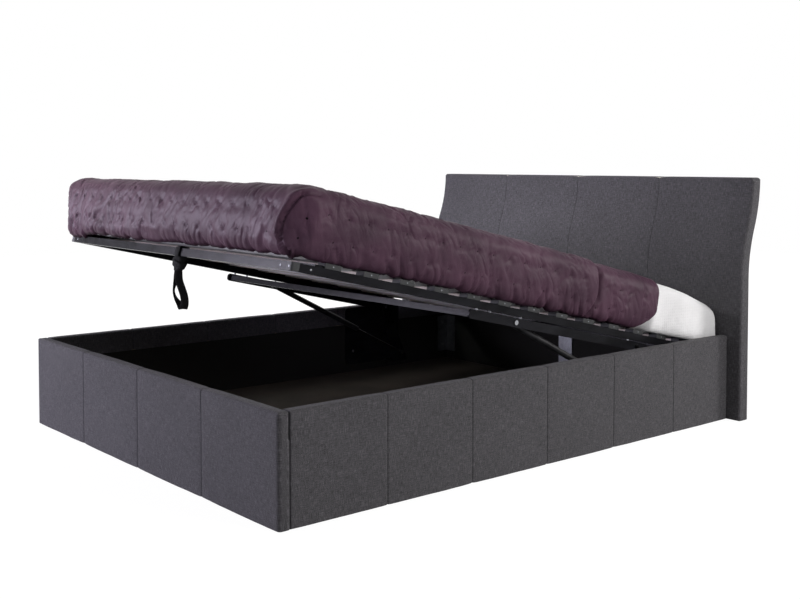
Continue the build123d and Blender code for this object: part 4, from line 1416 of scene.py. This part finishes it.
# Heads set on points: each stands along its point's "way" and is turned a little at random
def headTree():
    tree = bpy.data.node_groups.new("headsOnPoints", "GeometryNodeTree")
    for name, kind in (("Places", "Geometry"), ("Head", "Object"), ("Finish", "Material"), ("Seed", "Int")):
        tree.interface.new_socket(name, in_out="INPUT", socket_type=f"NodeSocket{kind}")
    tree.interface.new_socket("Heads", in_out="OUTPUT", socket_type="NodeSocketGeometry")
    start = addNode(tree, "NodeGroupInput", {}, {}).outputs
    way = addNode(tree, "GeometryNodeInputNamedAttribute", {"data_type": "FLOAT_VECTOR"}, {"Name": "way"})
    stand = addNode(tree, "FunctionNodeAlignRotationToVector", {"axis": "Z"}, {
        "Vector": way.outputs["Attribute"],
    })
    head = addNode(tree, "GeometryNodeObjectInfo", {}, {"Object": start["Head"]})
    place = addNode(tree, "GeometryNodeInstanceOnPoints", {}, {
        "Points": start["Places"],
        "Instance": head.outputs["Geometry"],
        "Rotation": stand.outputs["Rotation"],
    })
    chance = addNode(tree, "FunctionNodeRandomValue", {"data_type": "FLOAT_VECTOR"}, {
        "Max": (0, 0, math.tau), "Seed": start["Seed"],
    })
    spin = addNode(tree, "GeometryNodeRotateInstances", {}, {
        "Instances": place.outputs["Instances"], "Rotation": chance.outputs["Value"],
    })
    whole = addNode(tree, "GeometryNodeRealizeInstances", {}, {"Geometry": spin.outputs["Instances"]})
    painted = addNode(tree, "GeometryNodeSetMaterial", {}, {
        "Geometry": whole.outputs["Geometry"], "Material": start["Finish"],
    })
    addNode(tree, "NodeGroupOutput", {}, {"Heads": painted.outputs["Geometry"]})
    return tree


# A small round head with a socket in its top, or a plain dome where the socket is nought
def headMesh(radius, height, socket, around):
    profile = [(radius, 0), (radius, height * 0.45), (radius * 0.82, height * 0.9), (radius * 0.5, height)]
    if socket:
        profile[3:] = [(socket, height), (socket, height * 0.45)]
    points = [(across * math.cos(math.tau * k / around), across * math.sin(math.tau * k / around), up)
              for across, up in profile for k in range(around)]
    last = (len(profile) - 1) * around
    faces = ringQuads(len(profile), around)
    faces += [list(reversed(range(around))), [last + k for k in range(around)]]
    mesh = bpy.data.meshes.new("head")
    mesh.from_pydata(points, [], faces)
    return bpy.data.objects.new("head", mesh)


headsOnPoints = headTree()


def scatterHeads(name, spots, kind, seed, body, *nodes):
    stitch = kind == "stitch"
    finish = threadAndTuftShade if stitch else finishes["zinc_steel"]
    mesh = bpy.data.meshes.new(name)
    mesh.from_pydata([tuple(place) for place, _ in spots], [], [])
    ways = mesh.attributes.new("way", "FLOAT_VECTOR", "POINT")
    ways.data.foreach_set("vector", [value for _, way in spots for value in way])
    holder = bpy.data.objects.new(name, mesh)
    scene.collection.objects.link(holder)
    head = headMesh(*fastener[kind])
    grow = holder.modifiers.new("heads", "NODES")
    grow.node_group = headsOnPoints
    items = headsOnPoints.interface.items_tree
    sockets = {item.name: item.identifier for item in items if item.in_out == "INPUT"}
    grow[sockets["Head"]] = head
    grow[sockets["Finish"]] = finish
    grow[sockets["Seed"]] = seed
    settled = holder.evaluated_get(bpy.context.evaluated_depsgraph_get())
    made = bpy.data.meshes.new_from_object(settled)
    made.name = name
    holder.modifiers.remove(grow)
    holder.data = made
    bpy.data.objects.remove(head)
    if not made.materials:
        made.materials.append(finish)
    carry(holder, body, "purple_quilt" if stitch else "zinc_steel", *nodes)


# Screws, bolts and rivets where the solids have them
fastener = {
    "bolt": (0.0070, 0.0040, 0.0034, 12),
    "bracketScrew": (0.0060, 0.0030, 0.0026, 12),
    "frameScrew": (0.0035, 0.0016, 0.0014, 10),
    "rivet": (0.0025, 0.0010, 0.0, 8),
    "stitch": (0.0040, 0.0018, 0.0, 8),
    "slats": 13,
    # bolts on the side panels: place across and places along; on the foot panel and the headboard: place
    # across, then each place along with the way the head faces
    "boltHeights": (0.094, 0.196),
    "sideBolt": (0.769, (-1.013, 0.923)),
    "endBolt": (0.7405, ((-1.0415, 1), (0.9515, -1))),
    "bracketScrewPlaces": (0.768, (0.3735, 0.6015), (0.117, 0.228)),
    "tubeMiddle": 0.0325,
    "tubeEnds": ((-1.543, -1), (0.400, 1)),
    "endScrews": (0.670, 0.712),
    "sideScrews": (0.725, (-1.478, 0.335)),
    "rivetPlace": (0.727, 0.0525),
    "stitchSunk": 0.0003,
}
boltPlaces = []
for side in (-1, 1):
    for height in fastener["boltHeights"]:
        across, places = fastener["sideBolt"]
        boltPlaces += [((side * across, y, height), (-side, 0, 0)) for y in places]
        across, places = fastener["endBolt"]
        boltPlaces += [((side * across, y, height), (0, way, 0)) for y, way in places]
scatterHeads("panel_bolt_heads", boltPlaces, "bolt", 3, "bed_base", "panel_bolts")
across, places, screwHeights = fastener["bracketScrewPlaces"]
screwPlaces = [((side * across, y, z), (-side, 0, 0))
               for side in (-1, 1) for y in places for z in screwHeights]
scatterHeads("bracket_screw_heads", screwPlaces, "bracketScrew", 5, "bed_base", "hinge_bracket_screws")


def onLift(place, way):
    return liftAxes @ Vector(place), liftAxes.to_3x3() @ Vector(way)


framePlaces = []
middle = fastener["tubeMiddle"]
for side in (-1, 1):
    for along, way in fastener["tubeEnds"]:
        for across in fastener["endScrews"]:
            framePlaces.append(onLift((side * across, along, middle), (0, way, 0)))
    across, places = fastener["sideScrews"]
    framePlaces += [onLift((side * across, along, middle), (side, 0, 0)) for along in places]
scatterHeads("frame_screw_heads", framePlaces, "frameScrew", 7, "lift_frame", "frame_screws")
across, height = fastener["rivetPlace"]
slatPlaces = [mattress["firstSlat"] + mattress["slatPitch"] * k for k in range(fastener["slats"])]
rivetPlaces = [onLift((side * across, along, height), (side, 0, 0))
               for side in (-1, 1) for along in slatPlaces]
scatterHeads("holder_rivet_heads", rivetPlaces, "rivet", 9, "lift_frame", "holder_rivets")
# The near black stitches also stand for the painted shade in the tuft holes
stitchPlaces = [(spot - way * fastener["stitchSunk"], way)
                for spot, way in (onLift(place, way) for place, way in tuftPlaces)]
scatterHeads("quilt_stitches", stitchPlaces, "stitch", 11, "lift_frame")
print("heads and stitches made")


# Room: a pale floor, white to the camera and in reflections, soft lamps, and the same white round about
studio = {
    "worldLevel": 0.15,
    "floorSize": 16.0,
    "floorWhite": 0.80,
    "floorGlow": 1.09,
    "shadowShare": 0.12,
    "shadowReach": (1.6, 3.2),
    "lamps": [
        ("footLamp", (-3.7, -4.5, 1.15), (0.0, -0.6, 0.45), 1.8, 340, (0.86, 0.82, 1.0), 180),
        ("nearLamp", (5.2, 1.0, 1.90), (0.0, 0.0, 0.5), 1.4, 118, (1.0, 0.98, 0.97), 180),
        ("sideLamp", (4.2, 4.6, 2.10), (0.6, 0.0, 0.5), 1.6, 162, (1.0, 0.98, 0.97), 180),
        ("cornerLamp", (4.4, -4.1, 1.70), (0.76, -1.06, 0.76), 0.5, 0.20, (0.86, 0.82, 1.0), 10),
        ("headLamp", (-2.0, -2.6, 2.3), (-0.1, 0.96, 0.72), 1.2, 8, (1.0, 0.99, 1.0), 40),
        ("topLamp", (0.4, -0.6, 4.8), (0.0, 0.0, 0.0), 3.6, 22, (1.0, 1.0, 1.0), 180),
    ],
}
for name, place, aim, size, power, tint, spread in studio["lamps"]:
    lamp = bpy.data.lights.new(name, "AREA")
    lamp.shape = "DISK"
    lamp.size = size
    lamp.energy = power
    lamp.color = tint
    lamp.spread = math.radians(spread)
    holder = bpy.data.objects.new(name, lamp)
    holder.location = place
    holder.rotation_euler = (Vector(aim) - Vector(place)).to_track_quat("-Z", "Y").to_euler()
    scene.collection.objects.link(holder)


# How much of a surface is seen by the camera, in a reflection or through glass
def seenShare(tree):
    rays = addNode(tree, "ShaderNodeLightPath", {}, {})
    total = rays.outputs["Is Camera Ray"]
    for name in ("Is Glossy Ray", "Is Transmission Ray"):
        ways = {0: total, 1: rays.outputs[name]}
        total = addNode(tree, "ShaderNodeMath", {"operation": "MAXIMUM"}, ways).outputs[0]
    return total


def mixed(tree, share, first, second):
    inputs = {0: share, 1: first.outputs[0], 2: second.outputs[0]}
    return addNode(tree, "ShaderNodeMixShader", {}, inputs).outputs[0]


world = bpy.data.worlds.new("room")
scene.world = world
tree = emptyTree(world)
dim, bright = (addNode(tree, "ShaderNodeBackground", {}, {"Color": (1, 1, 1, 1), "Strength": strength})
               for strength in (studio["worldLevel"], 1.0))
choice = mixed(tree, seenShare(tree), dim, bright)
addNode(tree, "ShaderNodeOutputWorld", {}, {0: choice})

paint = bpy.data.materials.new("paleFloor")
tree = emptyTree(paint)
white = studio["floorWhite"]
place = addNode(tree, "ShaderNodeTexCoord", {}, {})
away = addNode(tree, "ShaderNodeVectorMath", {"operation": "LENGTH"}, {0: place.outputs["Object"]})
near, far = studio["shadowReach"]
fade = addNode(tree, "ShaderNodeMapRange", {"interpolation_type": "SMOOTHSTEP"}, {
    "Value": away.outputs["Value"], "From Min": near, "From Max": far,
    "To Min": 1 - studio["shadowShare"], "To Max": 1.0,
})
share = addNode(tree, "ShaderNodeMath", {"operation": "MULTIPLY"}, {0: seenShare(tree), 1: fade.outputs[0]})
matt = addNode(tree, "ShaderNodeBsdfDiffuse", {}, {"Color": (white, white, white, 1)})
glow = addNode(tree, "ShaderNodeEmission", {}, {"Strength": studio["floorGlow"]})
choice = mixed(tree, share.outputs[0], matt, glow)
addNode(tree, "ShaderNodeOutputMaterial", {}, {0: choice})
reach = studio["floorSize"] / 2
ground = [(x * reach, y * reach, -0.001) for x, y in ((-1, -1), (1, -1), (1, 1), (-1, 1))]
floorMesh = bpy.data.meshes.new("floor")
floorMesh.from_pydata(ground, [], [(0, 1, 2, 3)])
floorMesh.materials.append(paint)
floor = bpy.data.objects.new("floor", floorMesh)
scene.collection.objects.link(floor)
print("room made")
